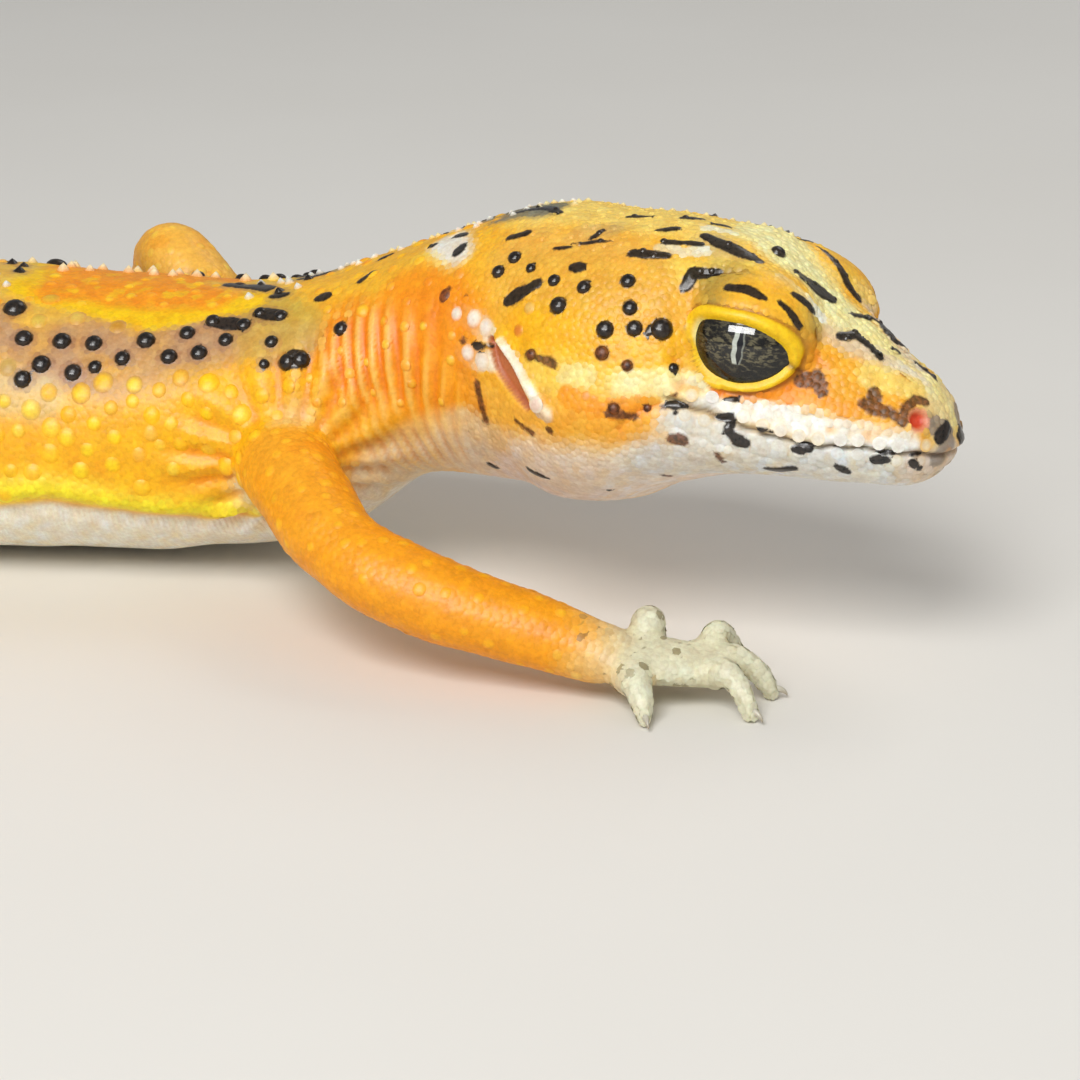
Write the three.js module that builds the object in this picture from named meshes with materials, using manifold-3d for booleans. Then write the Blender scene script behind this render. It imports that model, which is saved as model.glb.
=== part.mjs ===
// A leopard gecko (Eublepharis macularius), life size, as a still display model.
// Millimetres, +Z up. The animal faces +X with its belly on the floor at Z 0 and the origin
// is the middle of the flat under its belly. Its right side is -Y.
import * as THREE from "three";
import { mergeVertices } from "three/addons/utils/BufferGeometryUtils.js";
import Module from "manifold-3d";

const wasm = await Module();
wasm.setup();

// ---- driving sizes ----
const gap = 0.3; // between neighbouring solids
const bodySides = 18;
const limbSides = 8;
const digitSides = 6;

// The head's frame has its origin at the front of the mouth, X forward and Z up.
const head = {
  snout: [63.2, -13.1, 12.3],
  yaw: -22, // degrees, towards the right side
  pitch: 5, // nose down
  roll: -4, // left side down
  noseRound: 2.4, // depth of the rounded end of the snout
  jawHinge: 17, // behind the snout
  mouthEnd: 13.2,
  mouthRise: 1.3, // of the corner of the mouth above its front
};
// Behind the snout, half width, height above the mouth, depth below it.
const headShape = [
  [0, 3.1, 3.2, 1.8],
  [1.6, 3.5, 3.6, 2.2],
  [3.6, 4.2, 4.3, 2.6],
  [6, 5.1, 5.6, 3.0],
  [8.6, 6.0, 7.1, 3.3],
  [11.4, 7.0, 8.7, 3.9],
  [14.4, 8.0, 9.2, 5.1],
  [17.6, 8.7, 9.2, 6.9],
  [20.8, 8.5, 8.8, 7.6],
  [24, 7.6, 8.4, 7.5],
];
// Axis point x, y, z, then half width, height above the axis, depth below it.
const bodyShape = [
  [37.0, -3.0, 14.1, 6.6, 7.0, 7.4],
  [32.0, -1.2, 12.4, 7.2, 6.3, 6.5],
  [26.0, -0.1, 10.2, 8.2, 6.5, 8.2],
  [18.0, 0.5, 8.6, 9.1, 7.7, 8.0],
  [8.0, 0.8, 7.8, 9.6, 8.7, 7.7],
  [-4.0, 0.5, 7.4, 10.2, 9.1, 7.8],
  [-16.0, 0.0, 7.4, 9.7, 8.8, 7.7],
  [-25.0, -0.3, 7.6, 8.4, 7.9, 7.5],
  [-32.0, -0.2, 7.4, 7.2, 6.4, 6.8],
  [-38.0, 0.4, 6.4, 5.4, 5.2, 5.2],
  [-44.0, 1.5, 5.9, 5.5, 5.1, 5.3],
  [-54.0, 4.2, 5.7, 6.3, 5.5, 5.9],
  [-67.0, 8.6, 5.3, 6.1, 5.1, 5.6],
  [-80.0, 12.6, 4.6, 5.2, 4.4, 4.9],
  [-92.0, 15.0, 3.6, 4.0, 3.4, 3.8],
  [-103.0, 15.6, 2.6, 2.8, 2.4, 2.7],
  [-112.0, 14.6, 1.7, 1.8, 1.5, 1.7],
  [-118.0, 13.0, 1.1, 1.2, 1.0, 1.1],
];
const tailRound = 1.6;

const eye = {
  behind: 10.85,
  out: 3.25,
  up: 4.6,
  radius: 3.0,
  lid: 0.8, // how far the outside of the lids stands off the eyeball
  opening: [3.3, 3.0, 2.05], // half sizes of the hollow between the lids
};
const nostril = { behind: 1.7, out: 3.3, up: 2.6, radius: 0.5 };
const ear = { behind: 22.9, out: 7.9, up: 1.2, half: [0.65, 1.5, 1.9], lean: -40 };

// Limbs: the joints from inside the body to the wrist or ankle, and the radius at each.
const limbs = {
  right_fore: {
    side: -1,
    joints: [[24, -3, 8.5], [26.5, -8.4, 8.2], [31.2, -15.5, 6.0], [45.3, -19.1, 2.4]],
    radii: [3.2, 2.9, 2.35, 1.8],
    belly: 0.28,
    heading: 5,
    paw: "hand",
  },
  left_fore: {
    side: 1,
    joints: [[24, 3, 8.5], [20.1, 7.9, 9.5], [15.3, 11.4, 14.7], [14.6, 17.2, 2.8]],
    radii: [3.2, 2.9, 2.4, 1.6],
    belly: 0.28,
    heading: 55,
    paw: "hand",
  },
  right_hind: {
    side: -1,
    joints: [[-28, -2, 9], [-29.5, -8, 8.8], [-34.5, -20.5, 8.6], [-45.5, -23.0, 2.8]],
    radii: [4.2, 3.8, 2.9, 1.8],
    belly: 0.4,
    heading: -78,
    paw: "foot",
  },
  left_hind: {
    side: 1,
    joints: [[-30, 3, 9], [-26.5, 8, 9], [-14.8, 16.6, 8.4], [-19.0, 27.5, 2.8]],
    radii: [4.2, 3.8, 2.9, 1.8],
    belly: 0.4,
    heading: 38,
    paw: "foot",
  },
};
const limbNames = { hand: ["upper_arm", "forearm", "hand"], foot: ["thigh", "shin", "foot"] };

// Paws: the palm, then for each digit its root along and across the palm, the way it points,
// its length, how high it arches and its root's radius. Angles are from the heading, outwards
// is minus. A larger fall keeps a digit up for longer before it bends down to its end.
const paws = {
  hand: {
    palm: { length: 6.6, width: 2.0, thick: 1.15, up: 1.8 },
    digits: [
      { along: 2.2, across: 0.7, angle: 70, length: 2.7, arch: 2.3, thick: 1.0 },
      { along: 5.5, across: 0.8, angle: 48, length: 2.8, arch: 1.65, thick: 0.95 },
      { along: 6.0, across: 0, angle: 2, length: 3.0, arch: 0.75, thick: 0.98 },
      { along: 5.8, across: -0.9, angle: -44, length: 2.9, arch: 0.45, thick: 0.98 },
      { along: 1.6, across: -1.0, angle: -74, length: 3.0, arch: 0.1, thick: 1.35 },
    ],
    tip: 0.6,
    fall: 3,
  },
  foot: {
    palm: { length: 6.0, width: 2.1, thick: 1.3, up: 1.3 },
    digits: [
      { along: 1.4, across: 1.4, angle: 78, length: 4.2, arch: 0.8, thick: 0.85 },
      { along: 4.4, across: 1.3, angle: 40, length: 5.6, arch: 0.9, thick: 0.85 },
      { along: 5.3, across: 0.4, angle: 8, length: 6.6, arch: 0.9, thick: 0.85 },
      { along: 5.0, across: -0.8, angle: -22, length: 7.0, arch: 0.9, thick: 0.85 },
      { along: 1.8, across: -1.6, angle: -66, length: 5.0, arch: 0.8, thick: 0.85 },
    ],
    tip: 0.62,
    fall: 2.2,
  },
};
const claw = { length: 0.95, radius: 0.28, drop: 0.6 };

// ---- colours ----
const finish = (color, roughness) =>
  new THREE.MeshStandardMaterial({ color, roughness, metalness: 0 });
const finishes = {
  head: finish(0xe0a32e, 0.5),
  jaw: finish(0xd8d3c6, 0.5),
  neck: finish(0xf0941c, 0.55),
  trunk: finish(0xeab01f, 0.55),
  tail: finish(0xd9b98a, 0.55),
  limb: finish(0xf29a2b, 0.55),
  paw: finish(0xc9c3ae, 0.6),
  eye: finish(0x1c1d18, 0.08),
};

// ---- small tools ----
const vec = (p) => new THREE.Vector3(p[0], p[1], p[2]);
const radians = THREE.MathUtils.degToRad;

// A closed mesh's geometry as a manifold solid.
function solidOf(geometry) {
  const g = geometry.clone();
  g.deleteAttribute("normal");
  g.deleteAttribute("uv");
  const merged = mergeVertices(g, 1e-4);
  return new wasm.Manifold(
    new wasm.Mesh({
      numProp: 3,
      vertProperties: new Float32Array(merged.attributes.position.array),
      triVerts: new Uint32Array(merged.index.array),
    }),
  );
}

function geometryOf(solid) {
  const mesh = solid.getMesh();
  const g = new THREE.BufferGeometry();
  g.setAttribute("position", new THREE.BufferAttribute(new Float32Array(mesh.vertProperties), 3));
  g.setIndex(new THREE.BufferAttribute(new Uint32Array(mesh.triVerts), 1));
  g.computeVertexNormals();
  return g;
}

// Rows of numbers met at their distances s, with a smooth curve between them.
function curveThrough(rows) {
  const s = [0];
  for (let i = 1; i < rows.length; i++)
    s.push(s[i - 1] + vec(rows[i]).distanceTo(vec(rows[i - 1])));
  const last = rows.length - 1;
  const slope = (i, k) => {
    const before = i > 0 ? (rows[i][k] - rows[i - 1][k]) / (s[i] - s[i - 1]) : null;
    const after = i < last ? (rows[i + 1][k] - rows[i][k]) / (s[i + 1] - s[i]) : null;
    if (before === null) return after;
    if (after === null) return before;
    const back = s[i] - s[i - 1];
    const ahead = s[i + 1] - s[i];
    return (before * ahead + after * back) / (back + ahead);
  };
  const at = (d) => {
    let i = 0;
    while (i < last - 1 && d > s[i + 1]) i++;
    const h = s[i + 1] - s[i];
    const t = (d - s[i]) / h;
    return rows[i].map(
      (value, k) =>
        (2 * t ** 3 - 3 * t ** 2 + 1) * value +
        (t ** 3 - 2 * t ** 2 + t) * h * slope(i, k) +
        (3 * t ** 2 - 2 * t ** 3) * rows[i + 1][k] +
        (t ** 3 - t ** 2) * h * slope(i + 1, k),
    );
  };
  return { length: s[last], at, s };
}

// A closed tube of rings; each ring is { centre, across, up, wide, top, bottom, square }.
function tube(rings, sides) {
  const points = [];
  for (const r of rings)
    for (let j = 0; j < sides; j++) {
      const a = (2 * Math.PI * j) / sides;
      const c = Math.cos(a);
      const n = Math.sin(a);
      const power = 2 / (n < 0 ? r.square[1] : r.square[0]);
      const x = r.wide * Math.sign(c) * Math.abs(c) ** power;
      const z = (n < 0 ? r.bottom : r.top) * Math.sign(n) * Math.abs(n) ** power;
      points.push(r.centre.clone().addScaledVector(r.across, x).addScaledVector(r.up, z));
    }
  const first = points.length;
  points.push(rings[0].centre.clone(), rings.at(-1).centre.clone());
  const faces = [];
  const base = (rings.length - 1) * sides;
  for (let j = 0; j < sides; j++) {
    const k = (j + 1) % sides;
    for (let i = 0; i < rings.length - 1; i++) {
      const [a, b] = [i * sides + j, i * sides + k];
      faces.push(a, b, a + sides, b, b + sides, a + sides);
    }
    faces.push(first, k, j, first + 1, base + j, base + k);
  }
  const g = new THREE.BufferGeometry().setFromPoints(points);
  g.setIndex(faces);
  const made = solidOf(g);
  if (made.volume() > 0) return made;
  g.setIndex(faces.map((_, i) => faces[i % 3 ? i + (i % 3 === 1 ? 1 : -1) : i]));
  return solidOf(g);
}

// How far a rounded end has opened at distance d from its tip.
const rounded = (d, depth) => Math.sqrt(Math.max(0, 1 - (1 - Math.min(d / depth, 1)) ** 2));

// Cuts a solid at a plane, leaving the gap, into [ahead of it, behind it].
function cutAt(solid, point, normal) {
  const size = 400;
  const turn = new THREE.Quaternion().setFromUnitVectors(vec([0, 0, 1]), normal);
  return [1, -1].map((side) => {
    const box = new THREE.BoxGeometry(size, size, size);
    box.applyQuaternion(turn);
    const away = point.clone().addScaledVector(normal, side * (size / 2 + gap / 2));
    box.translate(away.x, away.y, away.z);
    return solid.intersect(solidOf(box));
  });
}

// ---- head and body ----
const headFrame = new THREE.Matrix4()
  .makeRotationFromEuler(
    new THREE.Euler(radians(head.roll), radians(head.pitch), radians(head.yaw), "ZYX"),
  )
  .setPosition(vec(head.snout));
const headPoint = (behind, left, up) => vec([-behind, left, up]).applyMatrix4(headFrame);

// The spine from snout to tail tip: axis, half width, top, bottom and how far the section rolls.
const spine = curveThrough([
  ...headShape.map(([behind, wide, top, bottom]) => {
    const p = headPoint(behind, 0, 0);
    return [p.x, p.y, p.z, wide, top, bottom, head.roll];
  }),
  ...bodyShape.map((row) => [...row, 0]),
]);

function spineRing(d, grow = 0) {
  const step = 3.5; // the sections turn smoothly through the bends
  const row = spine.at(d);
  const ahead = vec(spine.at(Math.max(d - step, 0)));
  const along = ahead.sub(vec(spine.at(Math.min(d + step, spine.length)))).normalize();
  const left = vec([0, 0, 1]).cross(along).normalize();
  left.applyAxisAngle(along, radians(row[6]));
  const up = along.clone().cross(left);
  const end = rounded(d, head.noseRound) * rounded(spine.length - d, tailRound);
  return {
    centre: vec(row),
    across: left,
    up,
    along,
    wide: row[3] * end + grow,
    top: row[4] * end + grow,
    bottom: row[5] * end + grow,
    square: [2.15, 2.2],
  };
}

// Rings lie closer together where the body is slender.
function bodyTube(grow) {
  const distances = [];
  let d = 0.04;
  while (d < spine.length - 0.04) {
    distances.push(d);
    const near = Math.min(d, (spine.length - d) * 3);
    d += Math.min(0.35 + near * 0.3, d < 26 ? 2.2 : 3.8);
  }
  distances.push(spine.length - 0.04);
  return tube(distances.map((x) => spineRing(x, grow)), bodySides);
}

const ball = (centre, radius, across = 14, up = 9) => {
  const g = new THREE.SphereGeometry(radius, across, up);
  g.translate(centre.x, centre.y, centre.z);
  return solidOf(g);
};
const eyeCentre = (side) => headPoint(eye.behind, side * eye.out, eye.up);

// A flattened ball in the head's frame, leaning about the head's cross axis.
function headBall(behind, left, up, size, lean = 0) {
  const g = new THREE.SphereGeometry(1, 10, 7);
  g.scale(...size);
  g.rotateY(radians(lean));
  g.translate(-behind, left, up);
  g.applyMatrix4(headFrame);
  return solidOf(g);
}

// Height of the closed mouth's line above its front.
const mouthLine = (behind) => head.mouthRise * Math.max(0, behind / head.mouthEnd) ** 2;

// A thin sheet through the mouth and down behind the jaw, which parts the jaw from the head.
function jawCut() {
  const steps = 10;
  const line = [new THREE.Vector2(3, 0)];
  for (let i = 0; i <= steps; i++) {
    const behind = (head.mouthEnd * i) / steps;
    line.push(new THREE.Vector2(-behind, mouthLine(behind)));
  }
  line.push(new THREE.Vector2(-head.jawHinge, -1), new THREE.Vector2(-head.jawHinge - 2, -12));
  const lower = line.map((p, i) => {
    const next = line[Math.min(i + 1, line.length - 1)];
    const way = next.clone().sub(line[Math.max(i - 1, 0)]).normalize();
    return new THREE.Vector2(p.x - way.y * gap, p.y + way.x * gap);
  });
  const g = new THREE.ExtrudeGeometry(new THREE.Shape([...line, ...lower.reverse()]), {
    depth: 30,
    bevelEnabled: false,
  });
  g.translate(0, 0, -15);
  g.rotateX(Math.PI / 2);
  g.applyMatrix4(headFrame);
  return solidOf(g);
}

function wholeBody() {
  let made = bodyTube(0);
  for (const side of [-1, 1]) made = made.add(ball(eyeCentre(side), eye.radius + eye.lid));
  for (const side of [-1, 1]) {
    made = made.subtract(ball(eyeCentre(side), eye.radius + gap));
    const open = side * (eye.out + eye.radius + eye.lid);
    made = made.subtract(headBall(eye.behind, open, eye.up, eye.opening));
    made = made.subtract(headBall(ear.behind, side * ear.out, ear.up, ear.half, ear.lean));
    const r = nostril.radius;
    made = made.subtract(headBall(nostril.behind, side * nostril.out, nostril.up, [r, r * 1.6, r]));
  }
  return made;
}

// ---- limbs ----
// A digit arches from its root to the floor and ends in a claw.
function digit(root, angle, { length, arch, thick }, { tip, fall }) {
  const way = vec([Math.cos(angle), Math.sin(angle), 0]);
  const reach = (t) => root.clone().addScaledVector(way, length * t);
  const steps = 4;
  const rings = [];
  for (let i = 0; i <= steps; i++) {
    const t = i / steps;
    const radius = thick + (tip - thick) * t;
    const floor = radius * 0.92;
    const centre = reach(t);
    const lift = arch * Math.sin(Math.PI * t ** 0.9) * (1 - t * 0.4);
    centre.z = floor + (root.z - floor) * (1 - t ** fall) + lift;
    rings.push({ centre, radius });
  }
  const end = rings.at(-1);
  for (const t of [0.4, 1]) {
    const centre = reach(1 + (t * claw.length) / length);
    const radius = Math.max(claw.radius, end.radius * (1 - 0.75 * t));
    centre.z = Math.max(radius * 0.9, end.centre.z - claw.drop * t);
    rings.push({ centre, radius });
  }
  const left = vec([0, 0, 1]).cross(way).normalize();
  return tube(
    rings.map(({ centre, radius }, i) => {
      const next = rings[Math.min(i + 1, rings.length - 1)].centre;
      const along = next.clone().sub(rings[Math.max(i - 1, 0)].centre).normalize();
      const up = along.clone().cross(left);
      return { centre, across: left, up, wide: radius, top: radius, bottom: radius, square: [2, 2] };
    }),
    digitSides,
  );
}

function pawSolid(limb) {
  const { palm, digits, tip, fall } = paws[limb.paw];
  const wrist = vec(limb.joints.at(-1));
  const heading = radians(limb.heading);
  const ahead = vec([Math.cos(heading), Math.sin(heading), 0]);
  const inner = vec([-Math.sin(heading), Math.cos(heading), 0]).multiplyScalar(-limb.side);
  const up = vec([0, 0, 1]);
  const steps = 6;
  const rings = [];
  for (let i = 0; i <= steps; i++) {
    const t = i / steps;
    const centre = wrist.clone().addScaledVector(ahead, palm.length * (t * 1.12 - 0.1));
    const thick = palm.thick * (1.15 - 0.3 * t);
    centre.z = palm.up + (wrist.z - palm.up) * (1 - t) ** 1.6;
    const open = rounded(t * palm.length + 0.3, 1) * rounded((1 - t) * palm.length + 0.25, 1.4);
    const wide = palm.width * (0.82 + 0.3 * Math.sin(Math.PI * t)) * open;
    const high = thick * open;
    rings.push({ centre, across: inner, up, wide, top: high, bottom: high, square: [2, 2.4] });
  }
  let made = tube(rings, limbSides);
  for (const d of digits) {
    const start = wrist.clone();
    start.addScaledVector(ahead, d.along).addScaledVector(inner, d.across);
    start.z = palm.up;
    const turn = heading - limb.side * radians(d.angle);
    made = made.add(digit(start, turn, d, { tip, fall }));
  }
  return made;
}

// The limb's tube from inside the body, through its joints, to the wrist.
function limbCurve(limb) {
  return curveThrough(limb.joints.map((p, i) => [...p, limb.radii[i]]));
}

function limbTube(limb) {
  const curve = limbCurve(limb);
  const steps = 14;
  const rings = [];
  for (let i = 0; i <= steps; i++) {
    const d = (curve.length * i) / steps;
    const row = curve.at(d);
    const along = vec(curve.at(Math.min(d + 0.1, curve.length)));
    along.sub(vec(curve.at(Math.max(d - 0.1, 0)))).normalize();
    const across = vec([0, 0, 1]).cross(along).normalize();
    const up = along.clone().cross(across);
    const [, , elbow, wrist] = curve.s;
    const t = (d - elbow) / (wrist - elbow);
    const swell = t > 0 ? limb.belly * Math.sin(Math.PI * Math.min(t, 1)) : 0;
    const r = row[3] + swell;
    rings.push({ centre: vec(row), across, up, wide: r, top: r, bottom: r, square: [2, 2] });
  }
  return tube(rings, limbSides);
}

// ---- the model ----
const gecko = new THREE.Group();
const floorCut = (solid) => cutAt(solid, vec([0, 0, -gap / 2]), vec([0, 0, 1]))[0];

function addNode(name, solid, material) {
  const largest = solid.decompose().sort((a, b) => b.volume() - a.volume())[0];
  const mesh = new THREE.Mesh(geometryOf(largest), material);
  mesh.name = name;
  gecko.add(mesh);
}

// Where the whole body is parted: name of what lies ahead, and the distance from the snout.
const cuts = [
  ["head", 26, "head"],
  ["neck", 36, "neck"],
  ["trunk_front", 62, "trunk"],
  ["trunk_rear", 102, "trunk"],
  ["tail_base", 132, "tail"],
  ["tail_middle", 162, "tail"],
];

let rest = floorCut(wholeBody());
const pieces = {};
for (const [name, distance, slot] of cuts) {
  const ring = spineRing(distance);
  const [ahead, behind] = cutAt(rest, ring.centre, ring.along);
  pieces[name] = [ahead, slot];
  rest = behind;
}
pieces.tail_tip = [rest, "tail"];

const [upper, lower] = pieces.head[0]
  .subtract(jawCut())
  .decompose()
  .sort((a, b) => b.volume() - a.volume());
pieces.head = [upper, "head"];
pieces.lower_jaw = [lower, "jaw"];
for (const [name, [solid, slot]] of Object.entries(pieces)) addNode(name, solid, finishes[slot]);

for (const [name, side] of [["eye_right", -1], ["eye_left", 1]]) {
  const mesh = new THREE.Mesh(new THREE.SphereGeometry(eye.radius, 14, 9), finishes.eye);
  mesh.name = name;
  mesh.position.copy(eyeCentre(side));
  gecko.add(mesh);
}

const bodyWithGap = bodyTube(gap);
for (const [name, limb] of Object.entries(limbs)) {
  const curve = limbCurve(limb);
  const [upperName, lowerName, pawName] = limbNames[limb.paw];
  const [side] = name.split("_");
  const tubeSolid = floorCut(limbTube(limb)).subtract(bodyWithGap);
  const direction = (d) => vec(curve.at(d + 0.2)).sub(vec(curve.at(d - 0.2))).normalize();
  const bend = curve.s[2];
  const [beyond, near] = cutAt(tubeSolid, vec(curve.at(bend)), direction(bend));
  const wristAt = curve.length - 0.5;
  const wristCut = [vec(curve.at(wristAt)), direction(wristAt)];
  const [, shaft] = cutAt(beyond, ...wristCut);
  const paw = floorCut(pawSolid(limb)).add(cutAt(beyond, ...wristCut)[0]);
  const [pawOnly] = cutAt(paw, ...wristCut);
  addNode(`${side}_${upperName}`, near, finishes.limb);
  addNode(`${side}_${lowerName}`, shaft, finishes.limb);
  addNode(`${side}_${pawName}`, pawOnly, finishes.paw);
}

export default gecko;
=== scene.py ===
from math import radians, pi
import bpy
import numpy as np
from mathutils import Euler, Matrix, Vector, kdtree


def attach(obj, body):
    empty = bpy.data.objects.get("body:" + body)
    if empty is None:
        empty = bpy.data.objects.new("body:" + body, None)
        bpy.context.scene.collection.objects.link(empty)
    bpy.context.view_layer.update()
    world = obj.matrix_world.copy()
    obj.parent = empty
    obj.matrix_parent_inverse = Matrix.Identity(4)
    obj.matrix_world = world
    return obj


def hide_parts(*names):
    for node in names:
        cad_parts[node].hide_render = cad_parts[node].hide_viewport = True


# A leopard gecko, life size, as a still display model.
# Lengths are in millimetres until a mesh is made; the animal faces +X and its right side is -Y.
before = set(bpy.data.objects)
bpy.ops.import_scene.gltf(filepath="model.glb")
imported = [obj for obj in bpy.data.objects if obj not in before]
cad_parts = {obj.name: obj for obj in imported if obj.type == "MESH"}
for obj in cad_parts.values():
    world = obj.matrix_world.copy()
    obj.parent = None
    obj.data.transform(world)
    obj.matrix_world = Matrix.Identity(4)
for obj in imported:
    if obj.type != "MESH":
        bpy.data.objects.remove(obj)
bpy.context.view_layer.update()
chance = np.random.default_rng(11)
millimetre = 0.001


def unit(v):
    return v / (np.linalg.norm(v, axis=-1, keepdims=True) + 1e-12)


def bell(x, width):
    return np.exp(-((x / width) ** 2))


def fade(start, end, x):
    # 0 at start, 1 at end, smooth between them; start may be the larger
    t = np.clip((x - start) / (end - start), 0, 1)
    return t * t * (3 - 2 * t)


def ripple(points, size, seed):
    # smooth noise of about -1 to 1 whose bumps are size across
    draw = np.random.default_rng(seed)
    total = np.zeros(len(points))
    for _ in range(7):
        way = unit(draw.normal(size=3))
        turn = draw.uniform(0, 2 * pi)
        warp = np.sin(points @ unit(draw.normal(size=3)) * 2 * pi / (size * 2.3) + turn)
        total += np.sin(points @ way * 2 * pi / (size * draw.uniform(1.2, 2.2)) + turn * 3 + warp)
    return total / 3.2


def segmentDistance(points, a, b):
    way = b - a
    t = np.clip((points - a) @ way / max(way @ way, 1e-9), 0, 1)
    return np.linalg.norm(points - a - t[:, None] * way, axis=1), t


def linear(colour):
    # the colour as light, from the 0 to 255 that a colour chart gives
    c = np.array(colour, float) / 255
    return np.where(c <= 0.04045, c / 12.92, ((c + 0.055) / 1.055) ** 2.4)


# the plan of the body
head = {
    "snout": (63.2, -13.1, 12.3),  # the front of the mouth
    "yaw": -22, "pitch": 5, "roll": -4,  # degrees: to the right, nose down, left side down
    "noseRound": 2.4,
    # behind the snout, half width, height above the mouth, depth below it
    "sections": [
        (0, 3.1, 3.2, 1.8), (1.6, 3.5, 3.6, 2.2), (3.6, 4.2, 4.3, 2.6), (6, 5.1, 5.6, 3.0),
        (8.6, 6.0, 7.1, 3.3), (11.4, 7.0, 8.7, 3.9), (14.4, 8.0, 9.2, 5.1), (17.6, 8.7, 9.2, 6.9),
        (20.8, 8.5, 8.8, 7.6), (24, 7.6, 8.4, 7.5),
    ],
}
body = {
    # a point on the axis, half width, height above it, depth below it
    "sections": [
        (37, -3, 14.1, 6.6, 7, 7.4), (32, -1.2, 12.4, 7.2, 6.3, 6.5), (26, -0.1, 10.2, 8.2, 6.5, 8.2),
        (18, 0.5, 8.6, 9.1, 7.7, 8), (8, 0.8, 7.8, 9.6, 8.7, 7.7), (-4, 0.5, 7.4, 10.2, 9.1, 7.8),
        (-16, 0, 7.4, 9.7, 8.8, 7.7), (-25, -0.3, 7.6, 8.4, 7.9, 7.5), (-32, -0.2, 7.4, 7.2, 6.4, 6.8),
        (-38, 0.4, 6.4, 5.4, 5.2, 5.2), (-44, 1.5, 5.9, 5.5, 5.1, 5.3), (-54, 4.2, 5.7, 6.3, 5.5, 5.9),
        (-67, 8.6, 5.3, 6.1, 5.1, 5.6), (-80, 12.6, 4.6, 5.2, 4.4, 4.9), (-92, 15, 3.6, 4, 3.4, 3.8),
        (-103, 15.6, 2.6, 2.8, 2.4, 2.7), (-112, 14.6, 1.7, 1.8, 1.5, 1.7), (-118, 13, 1.1, 1.2, 1, 1.1),
    ],
    "tailRound": 1.6,
    "squareTop": 2.15, "squareBottom": 2.2,  # 2 is an ellipse
    "turnOver": 3.5,  # how far either side of a section its direction is taken from
    "coatDepth": 0.15,  # the skin lies this far inside the solids
}
limbs = {
    "right_fore": {"side": -1, "heading": 5, "paw": "hand", "belly": 0.28, "radii": (3.2, 2.9, 2.35, 1.8),
                   "joints": [(24, -3, 8.5), (26.5, -8.4, 8.2), (31.2, -15.5, 6), (45.3, -19.1, 2.4)]},
    "left_fore": {"side": 1, "heading": 55, "paw": "hand", "belly": 0.28, "radii": (3.2, 2.9, 2.4, 1.6),
                  "joints": [(24, 3, 8.5), (20.1, 7.9, 9.5), (15.3, 11.4, 14.7), (14.6, 17.2, 2.8)]},
    "right_hind": {"side": -1, "heading": -78, "paw": "foot", "belly": 0.4, "radii": (4.2, 3.8, 2.9, 1.8),
                   "joints": [(-28, -2, 9), (-29.5, -8, 8.8), (-34.5, -20.5, 8.6), (-45.5, -23, 2.8)]},
    "left_hind": {"side": 1, "heading": 38, "paw": "foot", "belly": 0.4, "radii": (4.2, 3.8, 2.9, 1.8),
                  "joints": [(-30, 3, 9), (-26.5, 8, 9), (-14.8, 16.6, 8.4), (-19, 27.5, 2.8)]},
}
paws = {
    # each digit: its root along and across the palm, degrees (outwards is minus), length, arch and
    # its root's radius; a larger fall keeps a digit up for longer before it bends down
    "hand": {"length": 6.6, "width": 2.0, "thick": 1.15, "up": 1.8, "tip": 0.46, "fall": 3,
             "digits": [(2.2, 0.7, 70, 2.7, 2.3, 0.98), (5.5, 0.8, 48, 2.8, 1.65, 0.93),
                        (6.0, 0, 2, 3.0, 0.75, 0.96), (5.8, -0.9, -44, 2.9, 0.45, 0.96),
                        (1.6, -1.0, -74, 3.0, 0.1, 1.32)]},
    "foot": {"length": 6.0, "width": 2.1, "thick": 1.3, "up": 1.3, "tip": 0.52, "fall": 2.2,
             "digits": [(1.4, 1.4, 78, 4.2, 0.8, 0.83), (4.4, 1.3, 40, 5.6, 0.9, 0.83),
                        (5.3, 0.4, 8, 6.6, 0.9, 0.83), (5.0, -0.8, -22, 7.0, 0.9, 0.83),
                        (1.8, -1.6, -66, 5.0, 0.8, 0.83)]},
}


def curveThrough(rows):
    # a smooth curve that meets each row at its distance along the row's first three numbers
    rows = np.array(rows, float)
    step = np.linalg.norm(np.diff(rows[:, :3], axis=0), axis=1)
    stops = np.concatenate([[0], np.cumsum(step)])
    rise = np.diff(rows, axis=0) / step[:, None]
    slope = np.empty_like(rows)
    slope[0], slope[-1] = rise[0], rise[-1]
    weight = (step[1:] / (step[:-1] + step[1:]))[:, None]
    slope[1:-1] = rise[:-1] * weight + rise[1:] * (1 - weight)

    def at(d):
        i = np.clip(np.searchsorted(stops, d, side="right") - 1, 0, len(step) - 1)
        h = step[i][..., None]
        t = ((d - stops[i]) / step[i])[..., None]
        return (
            (2 * t**3 - 3 * t**2 + 1) * rows[i] + (t**3 - 2 * t**2 + t) * h * slope[i]
            + (3 * t**2 - 2 * t**3) * rows[i + 1] + (t**3 - t**2) * h * slope[i + 1]
        )

    return at, stops


def rounded(d, depth):
    # how far a rounded end has opened at distance d from its tip
    return np.sqrt(np.clip(1 - (1 - np.minimum(d / depth, 1)) ** 2, 0, None))


turned = Euler([radians(head[k]) for k in ("roll", "pitch", "yaw")], "XYZ").to_matrix()
headTurn = np.array(turned)
headSnout = np.array(head["snout"])


def headPoint(behind, left, up):
    return np.stack([-behind, left, up], -1) @ headTurn.T + headSnout


def headPlace(points):
    # behind the snout, to the left, and up, in the head's own frame
    q = (points - headSnout) @ headTurn
    return -q[:, 0], q[:, 1], q[:, 2]


spineRows = [(*headPoint(b, 0, 0), wide, top, low, head["roll"]) for b, wide, top, low in head["sections"]]
spineRows += [(*row, 0) for row in body["sections"]]
spineAt, spineStops = curveThrough(spineRows)
spineLength = spineStops[-1]


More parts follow.
